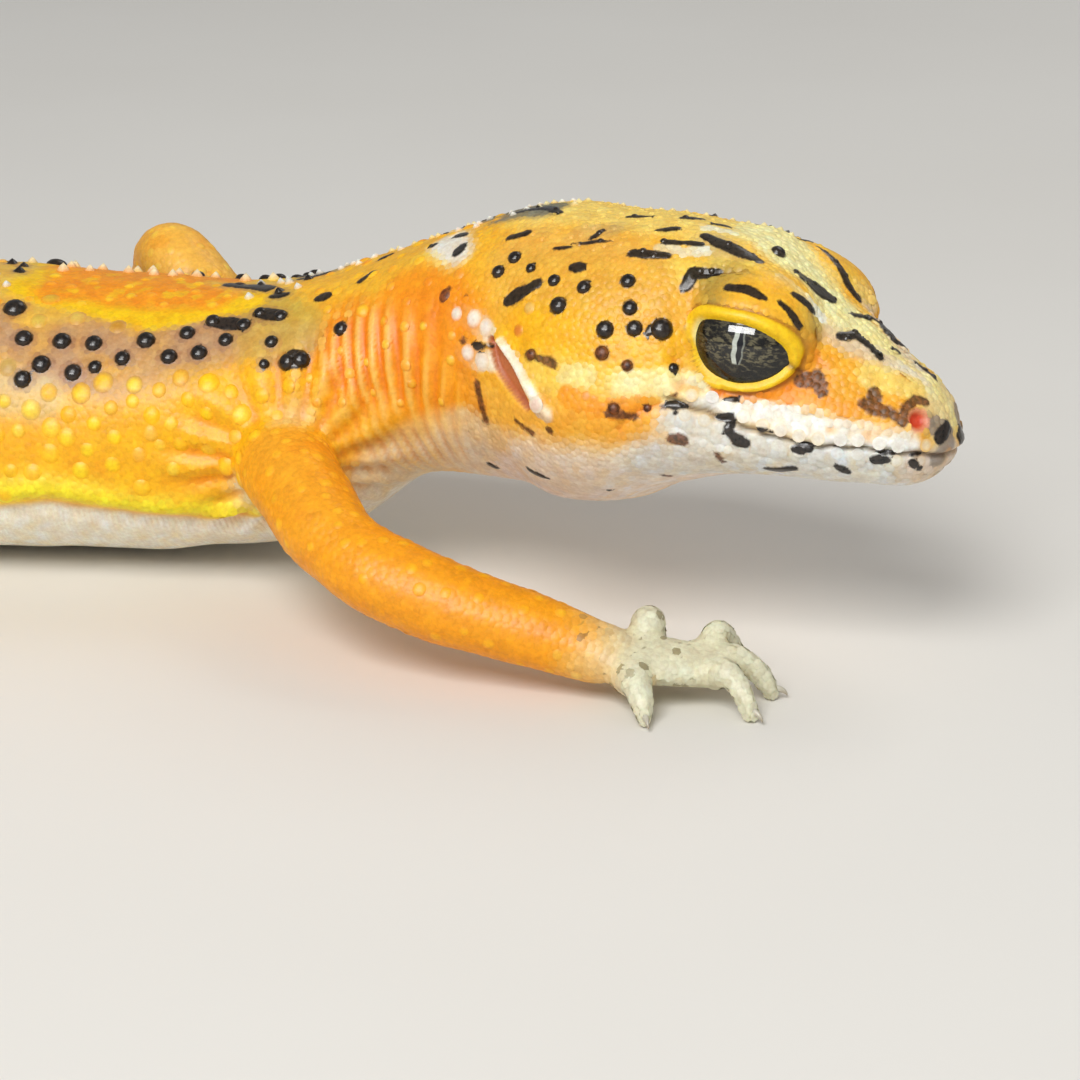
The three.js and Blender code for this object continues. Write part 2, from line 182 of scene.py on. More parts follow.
def sectionAt(d):
    # centre, direction ahead, left, up, and half width, height and depth of the body's section
    row = spineAt(d)
    ahead = spineAt(np.maximum(d - body["turnOver"], 0))
    after = spineAt(np.minimum(d + body["turnOver"], spineLength))
    along = unit((ahead - after)[..., :3])
    left = unit(np.cross((0, 0, 1), along))
    roll = np.radians(row[..., 6:7])
    left = left * np.cos(roll) + np.cross(along, left) * np.sin(roll)
    end = rounded(d, head["noseRound"]) * rounded(spineLength - d, body["tailRound"])
    return row[..., :3], along, left, np.cross(along, left), row[..., 3:6] * end[..., None]


def radiusAt(sizes, angle):
    # angles go round the section from 0 at the right side to 90 at the top
    c, s = np.cos(angle), np.sin(angle)
    power = np.where(s > 0, body["squareTop"], body["squareBottom"])
    high = np.where(s > 0, sizes[..., 1], sizes[..., 2]) + 1e-6
    wide = sizes[..., 0] + 1e-6
    return (np.abs(c / wide) ** power + np.abs(s / high) ** power) ** (-1 / power)


def tubeFaces(rings, sides, first):
    i, j = np.meshgrid(np.arange(rings - 1), np.arange(sides), indexing="ij")
    a = first + i * sides + j
    b = first + i * sides + (j + 1) % sides
    faces = np.stack([a, b, b + sides, a + sides], -1).reshape(-1, 4).tolist()
    faces.append(list(range(first, first + sides))[::-1])
    last = first + (rings - 1) * sides
    faces.append(list(range(last, last + sides)))
    return faces


class Lumps:
    # closed tubes gathered into one mesh
    def __init__(self):
        self.points = []
        self.faces = []
        self.count = 0

    def tube(self, grid):
        rings, sides = grid.shape[:2]
        self.faces += tubeFaces(rings, sides, self.count)
        self.points.append(grid.reshape(-1, 3))
        self.count += rings * sides


def bodyTube():
    d = np.concatenate([0.05 * 1.5 ** np.arange(6), np.arange(0.7, spineLength - 0.7, 0.5)])
    d = np.concatenate([d, spineLength - 0.05 * 1.5 ** np.arange(6)[::-1]])
    angle = np.linspace(-pi, pi, 96, endpoint=False)
    centre, _, left, up, sizes = sectionAt(d)
    out = radiusAt(sizes[:, None, :], angle[None, :]) - body["coatDepth"]
    out = np.maximum(out, 0.05)[..., None]
    side = -left[:, None, :] * np.cos(angle)[None, :, None]
    return centre[:, None, :] + out * (side + up[:, None, :] * np.sin(angle)[None, :, None])


def roundTube(centres, radii, sides, flat=None):
    # rings about a path, square to it; flat gives a height for each radius where it isn't round
    way = unit(np.gradient(centres, axis=0))
    across = unit(np.cross((0, 0, 1), way))
    up = np.cross(way, across)
    angle = np.linspace(0, 2 * pi, sides, endpoint=False)
    high = radii if flat is None else flat
    return (
        centres[:, None, :]
        + across[:, None, :] * (radii[:, None] * np.cos(angle))[..., None]
        + up[:, None, :] * (high[:, None] * np.sin(angle))[..., None]
    )


limbStep = 0.4  # millimetres between a limb's rings


def limbPath(limb):
    # centres and radii of the limb's rings, and how far down it its joints are
    at, stops = curveThrough([(*p, r) for p, r in zip(limb["joints"], limb["radii"])])
    d = np.arange(0, stops[-1] + limbStep / 2, limbStep)
    row = at(np.minimum(d, stops[-1]))
    t = np.clip((d - stops[2]) / (stops[3] - stops[2]), 0, 1)
    radii = row[:, 3] + limb["belly"] * np.sin(pi * t) - body["coatDepth"]
    return row[:, :3], radii, stops


def limbTube(limb):
    # the limb's rings, closed by a round end that runs into the palm
    centres, radii, _ = limbPath(limb)
    closing = np.array([0.35, 0.65, 0.88, 0.98])
    _, ahead, _ = pawDirections(limb)
    end = centres[-1] + ahead * (closing * radii[-1] * 1.3)[:, None]
    shut = radii[-1] * np.sqrt(1 - closing**2)
    return roundTube(np.vstack([centres, end]), np.concatenate([radii, shut]), 28)


def pawDirections(limb):
    heading = radians(limb["heading"])
    ahead = np.array([np.cos(heading), np.sin(heading), 0])
    inner = -limb["side"] * np.array([-np.sin(heading), np.cos(heading), 0])
    return heading, ahead, inner


def palmTube(limb):
    palm = paws[limb["paw"]]
    _, ahead, _ = pawDirections(limb)
    wrist = np.array(limb["joints"][-1])
    t = np.linspace(0, 1, 15)
    centres = wrist + ahead * (palm["length"] * (1.12 * t - 0.1))[:, None]
    centres[:, 2] = palm["up"] + (wrist[2] - palm["up"]) * (1 - t) ** 1.6
    opened = rounded(t * palm["length"] + 0.3, 1) * rounded((1 - t) * palm["length"] + 0.25, 1.4)
    wide = palm["width"] * (0.82 + 0.3 * np.sin(pi * t)) * opened
    thick = palm["thick"] * (1.15 - 0.3 * t) * opened
    return roundTube(centres, wide - 0.08, 24, thick - 0.08)


def digitPath(limb, digit):
    # points from the digit's root to its end, their radii, and its level direction
    palm = paws[limb["paw"]]
    heading, ahead, inner = pawDirections(limb)
    along, across, angle, length, arch, thick = digit
    root = np.array(limb["joints"][-1]) + ahead * along + inner * across
    turn = heading - limb["side"] * radians(angle)
    way = np.array([np.cos(turn), np.sin(turn), 0])
    t = np.linspace(0, 1, 17)
    radii = thick + (palm["tip"] - thick) * t
    floor = radii * 0.92
    path = root + way * (length * t)[:, None]
    path[:, 2] = floor + (palm["up"] - floor) * (1 - t ** palm["fall"])
    path[:, 2] += arch * np.sin(pi * t**0.9) * (1 - 0.4 * t)
    radii *= 1 + 0.05 * np.cos(2 * pi * (t * 2.4 + 0.1)) * fade(0, 0.3, t)
    return path, radii, way


def digitTube(limb, digit):
    path, radii, way = digitPath(limb, digit)
    closing = np.array([0.35, 0.65, 0.88, 1.0])
    tip = path[-1] + way * (closing * radii[-1] * 0.8)[:, None]
    tip[:, 2] -= closing * 0.12
    shut = radii[-1] * np.sqrt(np.maximum(1 - closing**2, 0.02))
    return roundTube(np.vstack([path, tip]), np.concatenate([radii, shut]), 16)


def ball(centre, radius, sides=40):
    t = np.linspace(0.02, pi - 0.02, sides // 2)
    angle = np.linspace(0, 2 * pi, sides, endpoint=False)
    ring = np.stack([np.cos(angle), np.sin(angle), np.zeros(sides)], -1)
    flat = np.sin(t)[:, None, None] * ring[None] + np.cos(t)[:, None, None] * np.array([0, 0, 1.0])
    return centre + radius * flat


# where the eyes sit
eye = {
    "behind": 10.9, "out": 3.1, "up": 4.4, "radius": 3.5,
    "bulge": (10.85, 3.25, 4.6, 3.65),  # behind, out, up and radius of the swelling that carries the lids
    "lidThick": 0.4,
    "openAt": (0.45, -0.22),  # centre of the opening, forwards and up from the eye's centre
    "openHalf": (2.6, 1.66),
    # degrees round the opening from its front, upwards first, and the width of the lid there
    "lidTurn": (-180, -135, -90, -45, 0, 45, 90, 135, 180),
    "lidWide": (0.62, 0.5, 0.4, 0.35, 0.34, 0.56, 0.48, 0.44, 0.62),
    "lookForward": 13, "lookUp": 2,  # degrees
}


def eyeCentre(side):
    return headPoint(eye["behind"], side * eye["out"], eye["up"])


lumps = Lumps()
lumps.tube(bodyTube())
for side in (-1, 1):
    behind, out, up, radius = eye["bulge"]
    lumps.tube(ball(headPoint(behind, side * out, up), radius))
for limb in limbs.values():
    lumps.tube(limbTube(limb))
    lumps.tube(palmTube(limb))
    for digit in paws[limb["paw"]]["digits"]:
        lumps.tube(digitTube(limb, digit))
print("lumps gathered:", lumps.count, "points")

# One skin is made from the lumps. Space is stretched about the head meanwhile, so that its mesh is
# finest there.
skinMesh = {"cell": 0.27, "finest": 1.3, "reach": 26, "middle": (48, -7, 13)}
middle = np.array(skinMesh["middle"], float)


def stretched(points):
    q = points - middle
    r = np.linalg.norm(q, axis=1, keepdims=True)
    return middle + q * (1 + skinMesh["finest"] / (1 + (r / skinMesh["reach"]) ** 2))


def unstretched(points):
    q = points - middle
    far = np.linalg.norm(q, axis=1)
    r = far.copy()
    for _ in range(12):
        k = (r / skinMesh["reach"]) ** 2
        miss = r * (1 + skinMesh["finest"] / (1 + k)) - far
        r -= miss / (1 + skinMesh["finest"] * (1 - k) / (1 + k) ** 2)
    return middle + q * (r / (far + 1e-9))[:, None]


def meshObject(name, points, faces):
    mesh = bpy.data.meshes.new(name)
    mesh.from_pydata(points.tolist(), [], faces)
    mesh.update()
    made = bpy.data.objects.new(name, mesh)
    bpy.context.scene.collection.objects.link(made)
    return made


def weldedSkin():
    rough = meshObject("roughSkin", stretched(np.concatenate(lumps.points)), lumps.faces)
    weld = rough.modifiers.new("weld", "REMESH")
    weld.mode = "VOXEL"
    weld.voxel_size = skinMesh["cell"]
    fine = rough.evaluated_get(bpy.context.evaluated_depsgraph_get()).to_mesh()
    points = np.empty(len(fine.vertices) * 3)
    fine.vertices.foreach_get("co", points)
    corners = np.empty(len(fine.loops), int)
    fine.loops.foreach_get("vertex_index", corners)
    assert len(corners) == 4 * len(fine.polygons)
    bpy.data.objects.remove(rough)
    return unstretched(points.reshape(-1, 3)), corners.reshape(-1, 4)


skin, quads = weldedSkin()
edges = np.concatenate([quads[:, [k, (k + 1) % 4]] for k in range(4)])
edges = np.unique(np.sort(edges, axis=1), axis=0)
touching = np.bincount(edges.ravel(), minlength=len(skin))
print("skin welded:", len(skin), "points,", len(quads), "faces")


def neighbourMean(values):
    total = np.zeros_like(values)
    for k in range(values.shape[1]):
        total[:, k] = np.bincount(edges[:, 0], values[edges[:, 1], k], len(values))
        total[:, k] += np.bincount(edges[:, 1], values[edges[:, 0], k], len(values))
    return total / touching[:, None]


def relaxed(points, amount, times):
    for _ in range(times):
        points = points + (neighbourMean(points) - points) * amount
    return points


def normalsOf(points):
    a, b, c, d = (points[quads[:, k]] for k in range(4))
    flat = np.cross(c - a, d - b)
    total = np.zeros_like(points)
    for k in range(3):
        for corner in range(4):
            total[:, k] += np.bincount(quads[:, corner], flat[:, k], len(points))
    return unit(total)


def spinePlace(points):
    # distance along the spine, angle round it and distance from it
    coarse = np.arange(1, spineLength, 2.0)
    centre, along, *_ = sectionAt(coarse)
    d = np.empty(len(points))
    for start in range(0, len(points), 40000):
        part = points[start:start + 40000]
        gap = part[:, None, :] - centre[None]
        far = np.linalg.norm(gap, axis=2)
        cost = np.abs((gap * along[None]).sum(2)) + 0.15 * far + 50 * (far > 22)
        d[start:start + 40000] = coarse[cost.argmin(1)]
    for _ in range(5):
        centre, along, *_ = sectionAt(d)
        d = np.clip(d - 0.8 * ((points - centre) * along).sum(1), 0, spineLength)
    centre, _, left, up, sizes = sectionAt(d)
    q = points - centre
    angle = np.arctan2((q * up).sum(1), -(q * left).sum(1))
    return d, angle, np.linalg.norm(q, axis=1), radiusAt(sizes, angle)


skin = relaxed(skin, 0.5, 2)
along, angle, outBy, bodyOut = spinePlace(skin)
offBody = fade(0.3, 1.6, outBy - bodyOut)  # 0 on the body, 1 on the limbs
print("skin measured")


def softSpots():
    # where pieces of the body run into one another: place, reach
    spots = []
    for limb in limbs.values():
        joints = [np.array(j, float) for j in limb["joints"]]
        spots += [(joints[1], 5.0), (joints[2], 3.5), (joints[3], 3.0)]
        _, ahead, inner = pawDirections(limb)
        for down, across, *_ in paws[limb["paw"]]["digits"]:
            spots.append((joints[3] + ahead * down + inner * across, 1.5))
    return spots


def softened(points, spots, times):
    amount = np.zeros(len(points))
    for place, reach in spots:
        amount = np.maximum(amount, fade(reach, reach * 0.6, np.linalg.norm(points - place, axis=1)))
    for _ in range(times):
        points = points + (neighbourMean(points) - points) * (0.6 * amount)[:, None]
    return points


skin = softened(skin, softSpots(), 30)
skin = softened(skin, [(headPoint(10.5, s * 4.5, 4.6), 6.5) for s in (-1, 1)], 60)
behind, left, up = headPlace(skin)
side = np.where(left < 0, -1, 1)
rise = np.degrees(np.arctan2(np.sin(angle), np.abs(np.cos(angle))))  # 0 at the flank, 90 on the back
onHead = fade(30, 26, along) * (1 - offBody)


def shapeEye(points, s):
    # lids round the opening, and a hollow behind it for the eyeball
    centre = eyeCentre(s)
    q = (points - centre) @ headTurn
    far = np.linalg.norm(q, axis=1)
    near = (far < 7.5) & (s * q[:, 1] > 0.12 * far)
    q, far = q[near], far[near]
    onBall = q / far[:, None] * (eye["radius"] + 0.2)
    f, u = onBall[:, 0] - eye["openAt"][0], onBall[:, 2] - eye["openAt"][1]

    def reach(f, u):
        a, b = f / eye["openHalf"][0], u / eye["openHalf"][1]
        power = 1.9 + 1.8 * np.clip(-a, 0, 1) * np.clip(b * 1.5, 0, 1)
        return (np.abs(a) ** power + np.abs(b) ** power + 1e-9) ** (1 / power) - 1

    h = 0.02
    slope = np.hypot(reach(f + h, u) - reach(f - h, u), reach(f, u + h) - reach(f, u - h)) / (2 * h)
    turn = np.degrees(np.arctan2(u / eye["openHalf"][1], f / eye["openHalf"][0]))
    lidWidth = np.interp(turn, eye["lidTurn"], eye["lidWide"])
    fromEdge = reach(f, u) / np.maximum(slope, 0.15) / lidWidth
    lid = eye["lidThick"] * fade(-0.03, 0.5, fromEdge) - 0.16 * bell(fromEdge - 1.25, 0.2)
    target = eye["radius"] + lid - 1.1 * fade(0.03, -0.6, fromEdge)
    hold = fade(3.4, 1.1, fromEdge) * fade(eye["radius"] + 2.0, eye["radius"] + 0.8, far)
    moved = centre + (q / far[:, None] * (far + (target - far) * hold)[:, None]) @ headTurn.T
    points[near] = moved
    lidField = np.full(len(points), 9.0)
    lidField[near] = fromEdge + 4 * fade(eye["radius"] + 0.9, eye["radius"] + 1.8, far)
    return lidField


lidField = np.minimum(shapeEye(skin, -1), shapeEye(skin, 1))  # 0 at the lids' edge, 1 where the lids end

mouth = {
    "behind": (-2, 0, 1.2, 3.5, 6, 8.5, 11, 13.3, 15),
    "height": (0.1, 0.1, 0.3, 0.25, 0.0, 0.2, 0.65, 1.3, 1.7),
    "end": 13.3, "deep": 0.3, "wide": 0.13,
    "scale": 0.95,  # the length of one of the lips' scales
}
nostril = {"behind": 1.35, "out": 2.4, "up": 2.0, "radius": 0.52, "deep": 0.36}
ear = {
    "line": [(24.2, 1.8), (23.3, 0.8), (22.1, 0.0), (21.1, -0.9)],  # behind the snout, up
    "half": 0.7, "deep": 0.42,
    "border": [(23.6, 1.9), (22.4, 1.2), (21.3, 0.4), (20.2, -0.5), (19.5, -0.9)], "borderHigh": 0.26,
}


def pathDistance(x, y, path):
    # distance in the plane to a chain of points, and how far along it from 0 to 1
    best, where = np.full(len(x), 99.0), np.zeros(len(x))
    p = np.stack([x, y], -1)
    for k in range(len(path) - 1):
        a, b = np.array(path[k], float), np.array(path[k + 1], float)
        t = np.clip((p - a) @ (b - a) / ((b - a) @ (b - a)), 0, 1)
        far = np.linalg.norm(p - a - t[:, None] * (b - a), axis=1)
        closer = far < best
        best = np.where(closer, far, best)
        where = np.where(closer, (k + t) / (len(path) - 1), where)
    return best, where


fromMouth = up - np.interp(behind, mouth["behind"], mouth["height"])
fromMouth += 0.05 * np.sin(behind * 2 * pi / 1.3)
mouthShut = fade(mouth["end"] + 0.6, mouth["end"] - 0.4, behind) * onHead
nostrilAt = [headPoint(nostril["behind"], s * nostril["out"], nostril["up"]) for s in (-1, 1)]
fromNostril = np.minimum(*[np.linalg.norm(skin - n, axis=1) for n in nostrilAt])
outside = np.abs(left) > 4.5
fromEar, alongEar = pathDistance(behind, up, ear["line"])
fromEar = np.where(outside, fromEar, 9) - ear["half"] * (0.35 + 0.65 * np.sin(pi * alongEar))
fromBorder = np.where(outside, pathDistance(behind, up, ear["border"])[0], 9)


def headChain(places):
    # distance to a chain of places in the head's own frame, the same on both sides
    q = np.stack([behind, -np.abs(left), up], -1)
    steps = zip(np.array(places), np.array(places)[1:])
    return np.min([segmentDistance(q, a, b)[0] for a, b in steps], axis=0)


fromBrow = headChain([
    (13.8, -4.6, 7.2), (11.4, -4.3, 8.0), (8.9, -4.5, 7.5), (7.6, -4.3, 6.3), (7.1, -4.6, 5.2)
])
# where the lids meet in front
fromCorner = headChain([(7.95, -5.25, 4.0), (7.4, -4.8, 3.65), (6.9, -4.5, 3.4)])


def faceRelief():
    # heights over the skin, outwards
    # the seam of the mouth, the swell of the lips, the grooves that edge them and part their scales
    push = -mouth["deep"] * bell(fromMouth, mouth["wide"])
    push += 0.15 * bell(fromMouth - 0.42, 0.32)
    push -= 0.08 * fade(0.1, -0.15, fromMouth) * fade(-1.9, -1.0, fromMouth)
    push -= 0.07 * bell(fromMouth - 1.45, 0.16) * fade(2, 4, behind)
    push -= 0.06 * bell(fromMouth + 1.35, 0.16)
    scaleLong = mouth["scale"]
    push -= 0.08 * bell((behind % scaleLong) - scaleLong / 2, 0.1) * bell(np.abs(fromMouth) - 0.7, 0.5)
    push *= mouthShut
    # the nostril, the ear and its border
    push -= nostril["deep"] * np.exp(-((fromNostril / nostril["radius"]) ** 4))
    push += 0.09 * bell(fromNostril - 0.62, 0.16)
    push -= ear["deep"] * fade(0.14, -0.22, fromEar)
    push += ear["borderHigh"] * bell(fromBorder, 0.36) * onHead
    push += 0.1 * bell(fromBorder, 0.9) * onHead
    # the swell of the jaw's muscle, and the hollow before the eye
    out = np.abs(left)
    jaw = np.hypot((behind - 17.5) / 3.4, (up + 0.5) / 2.2)
    push += 0.22 * bell(jaw, 1.0) * onHead
    lore = np.hypot((behind - 5.6) / 2.2, up - 2.9)
    push -= 0.14 * bell(lore, 1.0) * onHead * (out > 3)
    # the crease behind the mouth, the edge of the snout and the crease under the eye:
    # height, half width, how far out from the middle they begin, and the places they join
    for high, half, begins, path in (
        (-0.18, 0.28, 4, [(13.2, 1.2), (14.6, 0.4), (15.6, -0.8)]),
        (0.12, 0.5, 1.2, [(7.2, 5.6), (4.6, 4.4), (2.4, 3.5)]),
        (-0.12, 0.18, 4, [(13.7, 3.2), (12.8, 1.9), (11, 1.3)]),
    ):
        push += high * bell(pathDistance(behind, up, path)[0], half) * onHead * (out > begins)
    # the brow, the front corner of the lids and the swell over the eyes
    push -= (0.17 * bell(fromBrow, 0.22) - 0.1 * bell(fromBrow - 0.55, 0.35)) * onHead
    push -= 0.14 * bell(fromCorner, 0.13) * onHead
    push += 0.4 * bell(behind - 12.6, 1.8) * bell(out - 2.4, 1.7) * fade(5, 7, up) * onHead
    return push


relief = {
    "neckFold": 0.12, "neckApart": 0.95,  # height of the folds down the neck, and millimetres between them
    "shoulderFold": 0.17, "shoulderFolds": 17,  # height of a shoulder's wrinkles, and how many go round it
    "tailRing": 0.2, "ringApart": 4.3,  # depth of the creases between the tail's rings, and a ring's length
}


def onNeck():
    # 1 in the middle of the neck's folds, 0 away from them
    return bell(along - 31.4, 4.4) * bell(rise + 8, 44) * (1 - offBody)


def bodyRelief():
    loose = ripple(skin, 7, 3)
    onBody = 1 - offBody
    # folds of loose skin down the neck
    turn = (along + 0.018 * rise + 0.5 * loose) * 2 * pi / relief["neckApart"]
    push = relief["neckFold"] * (1 + 0.7 * ripple(skin, 4, 8)) * np.sin(turn) * onNeck()
    # wrinkles that fan out from the shoulder
    for limb in (limbs["right_fore"], limbs["left_fore"]):
        q = skin - np.array(limb["joints"][1], float)
        far = np.linalg.norm(q, axis=1)
        fan = (np.arctan2(q[:, 2], q[:, 0]) + 0.12 * loose) * relief["shoulderFolds"]
        near = bell(far - 5.2, 2.0) * onBody * (side == limb["side"])
        push += relief["shoulderFold"] * np.sin(fan) * near
    # the fold along each flank, over the belly
    foldAt = np.interp(along, (26, 40, 46, 50, 54, 60, 96, 104), (-42, -36, -28, -19, -12, -15, -18, -30))
    low = rise - foldAt
    held = fade(36, 44, along) * fade(104, 96, along) * onBody
    push += held * (0.32 * bell(low - 2, 4.5) - 0.3 * bell(low + 6.5, 4))
    # the tail's rings
    ring = (along - 112) % relief["ringApart"] - relief["ringApart"] / 2
    push -= relief["tailRing"] * bell(ring, 0.4) * fade(108, 114, along) * fade(186, 178, along) * onBody
    push += 0.07 * ripple(skin, 3.2, 5) + 0.05 * loose
    return push, low


skin = relaxed(skin, 0.3, 1)
push, lowness = bodyRelief()  # lowness is in degrees over the fold along the flank
skin += normalsOf(skin) * (faceRelief() + push)[:, None]
skin[:, 2] = np.maximum(skin[:, 2], 0.0)
normals = normalsOf(skin)
print("skin shaped")

turnWeight = 8  # millimetres that a radian round the body counts as


def placeTree():
    # finds the skin's point at a distance along the spine and an angle round it
    chosen = np.flatnonzero(offBody < 0.4)
    tree = kdtree.KDTree(len(chosen))
    for k, d, a in zip(chosen.tolist(), along[chosen].tolist(), angle[chosen].tolist()):
        tree.insert((d, turnWeight * np.cos(a), turnWeight * np.sin(a)), k)
    tree.balance()
    return tree


skinTree = placeTree()


def onSkin(*place):
    # the skin's point at a distance and degrees, or behind, left and up in the head's own frame
    if len(place) == 3:
        return int(np.linalg.norm(skin - headPoint(*place), axis=1).argmin())
    a = radians(place[1])
    return skinTree.find((place[0], turnWeight * np.cos(a), turnWeight * np.sin(a)))[1]


midline = 79  # degrees; a mark that reaches over this has no like on the left side


def bothSides(places, shift):
    # the places, and their like on the left side, a little moved
    if len(places[0]) == 3:
        return [places]
    mirrored = [(d + shift[0], 180 - a + shift[1]) for d, a in places]
    return [places, mirrored] if max(a for _, a in places) < midline else [places]


def chainDistance(places, reach, swell=0.0):
    # distance from every point of the skin to a chain of places on it, where that is under reach;
    # swell makes the chain's middle that much fatter than its ends
    spots = [skin[onSkin(*place)] for place in places]
    best = np.full(len(skin), 9.0)
    low, high = np.min(spots, axis=0) - reach, np.max(spots, axis=0) + reach
    near = np.flatnonzero(((skin > low) & (skin < high)).all(1))
    count = max(len(spots) - 1, 1)
    for k, (a, b) in enumerate(zip(spots, spots[1:] or spots)):
        far, t = segmentDistance(skin[near], a, b)
        best[near] = np.minimum(best[near], far - swell * np.sin(pi * (k + t) / count))
    return best


# Colours laid on the skin in strokes: colour, half width, how strong, and the places on the right side
# that a stroke runs through.
strokes = [
    # crown and snout
    ((246, 218, 140), 2.6, 0.8, [(24, 82), (18, 86), (12, 90)]),
    ((251, 243, 188), 1.7, 0.85, [(13, 100), (8, 86), (4, 90), (1, 92)]),
    ((205, 188, 150), 0.9, 0.7, [(14, 72), (12.6, 67)]),
    ((190, 164, 132), 0.9, 0.6, [(21.2, 64), (20, 68)]),
    ((240, 236, 218), 0.4, 0.85, [(16.4, 63), (15.2, 64), (14.2, 67)]),
    ((242, 238, 216), 0.4, 0.85, [(15.2, 81), (13.8, 82)]),
    ((222, 206, 200), 0.8, 0.7, [(7.4, 64), (4.6, 70), (2.4, 78)]),
    ((238, 182, 102), 1.9, 0.8, [(24, 52), (19.5, 55), (16.5, 51)]),
    ((248, 214, 120), 1.0, 0.8, [(14.8, 55), (11, 62), (8.5, 61)]),
    ((249, 242, 190), 1.5, 0.85, [(12.4, 88), (9.4, 84), (7, 82)]),
    ((178, 150, 86), 1.5, 0.9, [(12.2, -5.4, 7.3), (10.6, -5.3, 7.6), (8.8, -4.9, 7.3), (7.6, -4.6, 6)]),
    ((150, 138, 96), 0.42, 0.8, [(12.2, -6.2, 6.4), (10.2, -6.1, 6.7), (8.6, -5.7, 6.3), (7.8, -5.2, 5.4)]),
    ((252, 250, 230), 0.42, 0.95, [(9.6, -3.7, 7.8), (8.4, -3.2, 7.2), (7.3, -2.4, 6.4)]),
    # temple and cheek
    ((242, 184, 84), 2.2, 0.9, [(23, 37), (18, 38), (15.5, 41)]),
    ((254, 190, 24), 1.5, 0.85, [(22.3, 20), (19, 21), (14.6, 25)]),
    ((252, 212, 110), 1.3, 0.85, [(20.5, 6), (15.5, 7)]),
    ((254, 246, 196), 0.8, 0.8, [(15.6, 11), (13.6, 15), (12.4, 14)]),
    ((253, 240, 180), 0.6, 0.7, [(18.8, 9), (17.6, 10)]),
    ((248, 176, 76), 1.5, 0.9, [(20.5, -10), (17, -6), (14, -2)]),
    ((252, 158, 28), 0.6, 0.7, [(18.6, 3), (16.6, 1), (14.6, 4)]),
    ((252, 192, 96), 1.5, 0.85, [(24.4, -14), (21, -18), (17.5, -19)]),
    # throat, chin and lips
    ((248, 236, 232), 3.4, 0.95, [(25, -58), (14, -52), (4, -55)]),
    ((246, 236, 226), 2.0, 0.9, [(20.5, -33), (15.5, -26)]),
    ((232, 232, 230), 1.8, 0.95, [(13.5, -20), (9, -26), (1.5, -30)]),
    ((244, 244, 238), 0.85, 0.97, [(12.4, 11), (9, 11), (5, 11), (1.6, 14)]),
    ((230, 232, 230), 0.9, 0.95, [(12.8, 0), (9, -6), (4.5, -8), (1, -10)]),
    ((253, 240, 200), 0.5, 0.9, [(13.2, 10), (11.8, 14)]),
    # lores
    ((248, 176, 66), 1.5, 0.9, [(7.4, 38), (4.8, 40), (2.6, 46)]),
    ((243, 160, 40), 0.9, 0.75, [(8.2, 33), (6.5, 31)]),
    ((246, 148, 26), 0.62, 0.95, [(11, 17), (8.8, 21), (7.2, 24)]),
    ((248, 160, 40), 0.4, 0.6, [(6.9, 25), (4.2, 27)]),
    ((251, 222, 140), 0.8, 0.8, [(4.2, 56), (2.4, 66)]),
    ((238, 214, 170), 1.0, 0.85, [(0.9, 62), (0.3, 30)]),
    ((228, 208, 196), 1.2, 0.95, [(0.9, -14), (0.5, -30), (0.3, -50)]),
    ((150, 140, 146), 0.6, 0.9, [(0.8, 44), (0.3, 55), (0.2, 32), (0.3, -3)]),
    # nape and behind the ear
    ((104, 112, 122), 1.0, 0.92, [(27.2, 100), (26.3, 97), (25.2, 92), (24.2, 84)]),
    ((112, 118, 126), 0.75, 0.85, [(26.4, 84), (25.2, 80), (24.2, 78)]),
    ((242, 238, 230), 1.2, 0.95, [(27.7, 60), (28.6, 76)]),
    ((244, 234, 216), 0.62, 0.97, [(26.7, 28), (25.6, 23), (24.8, 18)]),
    ((244, 234, 216), 0.62, 0.97, [(26.3, 11), (25.5, 6), (24.4, 6)]),
    ((250, 244, 226), 0.36, 0.95, [(23.5, 14), (22.4, 9), (21.3, 3), (20.2, -3)]),
    ((244, 230, 214), 0.5, 0.8, [(20.4, -4), (19.6, -6)]),
    ((236, 150, 60), 0.8, 0.7, [(26.2, -2), (25.6, -12)]),
    ((255, 222, 96), 0.9, 0.7, [(29.5, 60), (28.2, 50)]),
    # neck
    ((249, 150, 22), 2.7, 0.9, [(34, 22), (30, 16), (27.6, 24)]),
    ((250, 150, 24), 1.6, 0.8, [(29.5, 46), (27.6, 38)]),
    ((252, 170, 48), 1.7, 0.85, [(31, -4), (28, -6)]),
    ((242, 228, 208), 2.2, 0.9, [(35, -46), (28, -42)]),
    ((238, 212, 178), 1.0, 0.8, [(27, -24), (24.6, -30)]),
    # trunk
    ((255, 190, 18), 2.4, 0.85, [(38, 12), (44, 10), (48, 4)]),
    ((210, 178, 96), 1.5, 0.85, [(40.3, 66), (38.5, 54), (36.9, 42)]),
    ((206, 170, 110), 1.2, 0.75, [(40.5, 44), (38.6, 34), (36.8, 34)]),
    ((150, 142, 120), 1.0, 0.8, [(39.7, 108), (37.8, 102), (36.5, 98)]),
    ((222, 196, 150), 1.3, 0.7, [(58, 24), (53.6, 22)]),
    ((255, 206, 14), 0.95, 0.97, [(55.8, 72), (50.8, 62), (47.4, 56), (44, 60), (42.2, 65), (40.6, 70)]),
    ((255, 206, 14), 1.3, 0.95, [(55.8, 76), (55.4, 90)]),
    ((253, 158, 36), 1.5, 0.95, [(54.2, 76), (50.6, 76), (47.2, 73), (44.2, 74)]),
    ((253, 158, 36), 1.5, 0.95, [(54, 90), (50, 90), (46.4, 88)]),
    ((240, 226, 206), 1.4, 0.85, [(41.6, -20), (39.4, -22)]),
    ((238, 200, 150), 1.0, 0.7, [(38.4, -6), (37.6, 2)]),
]


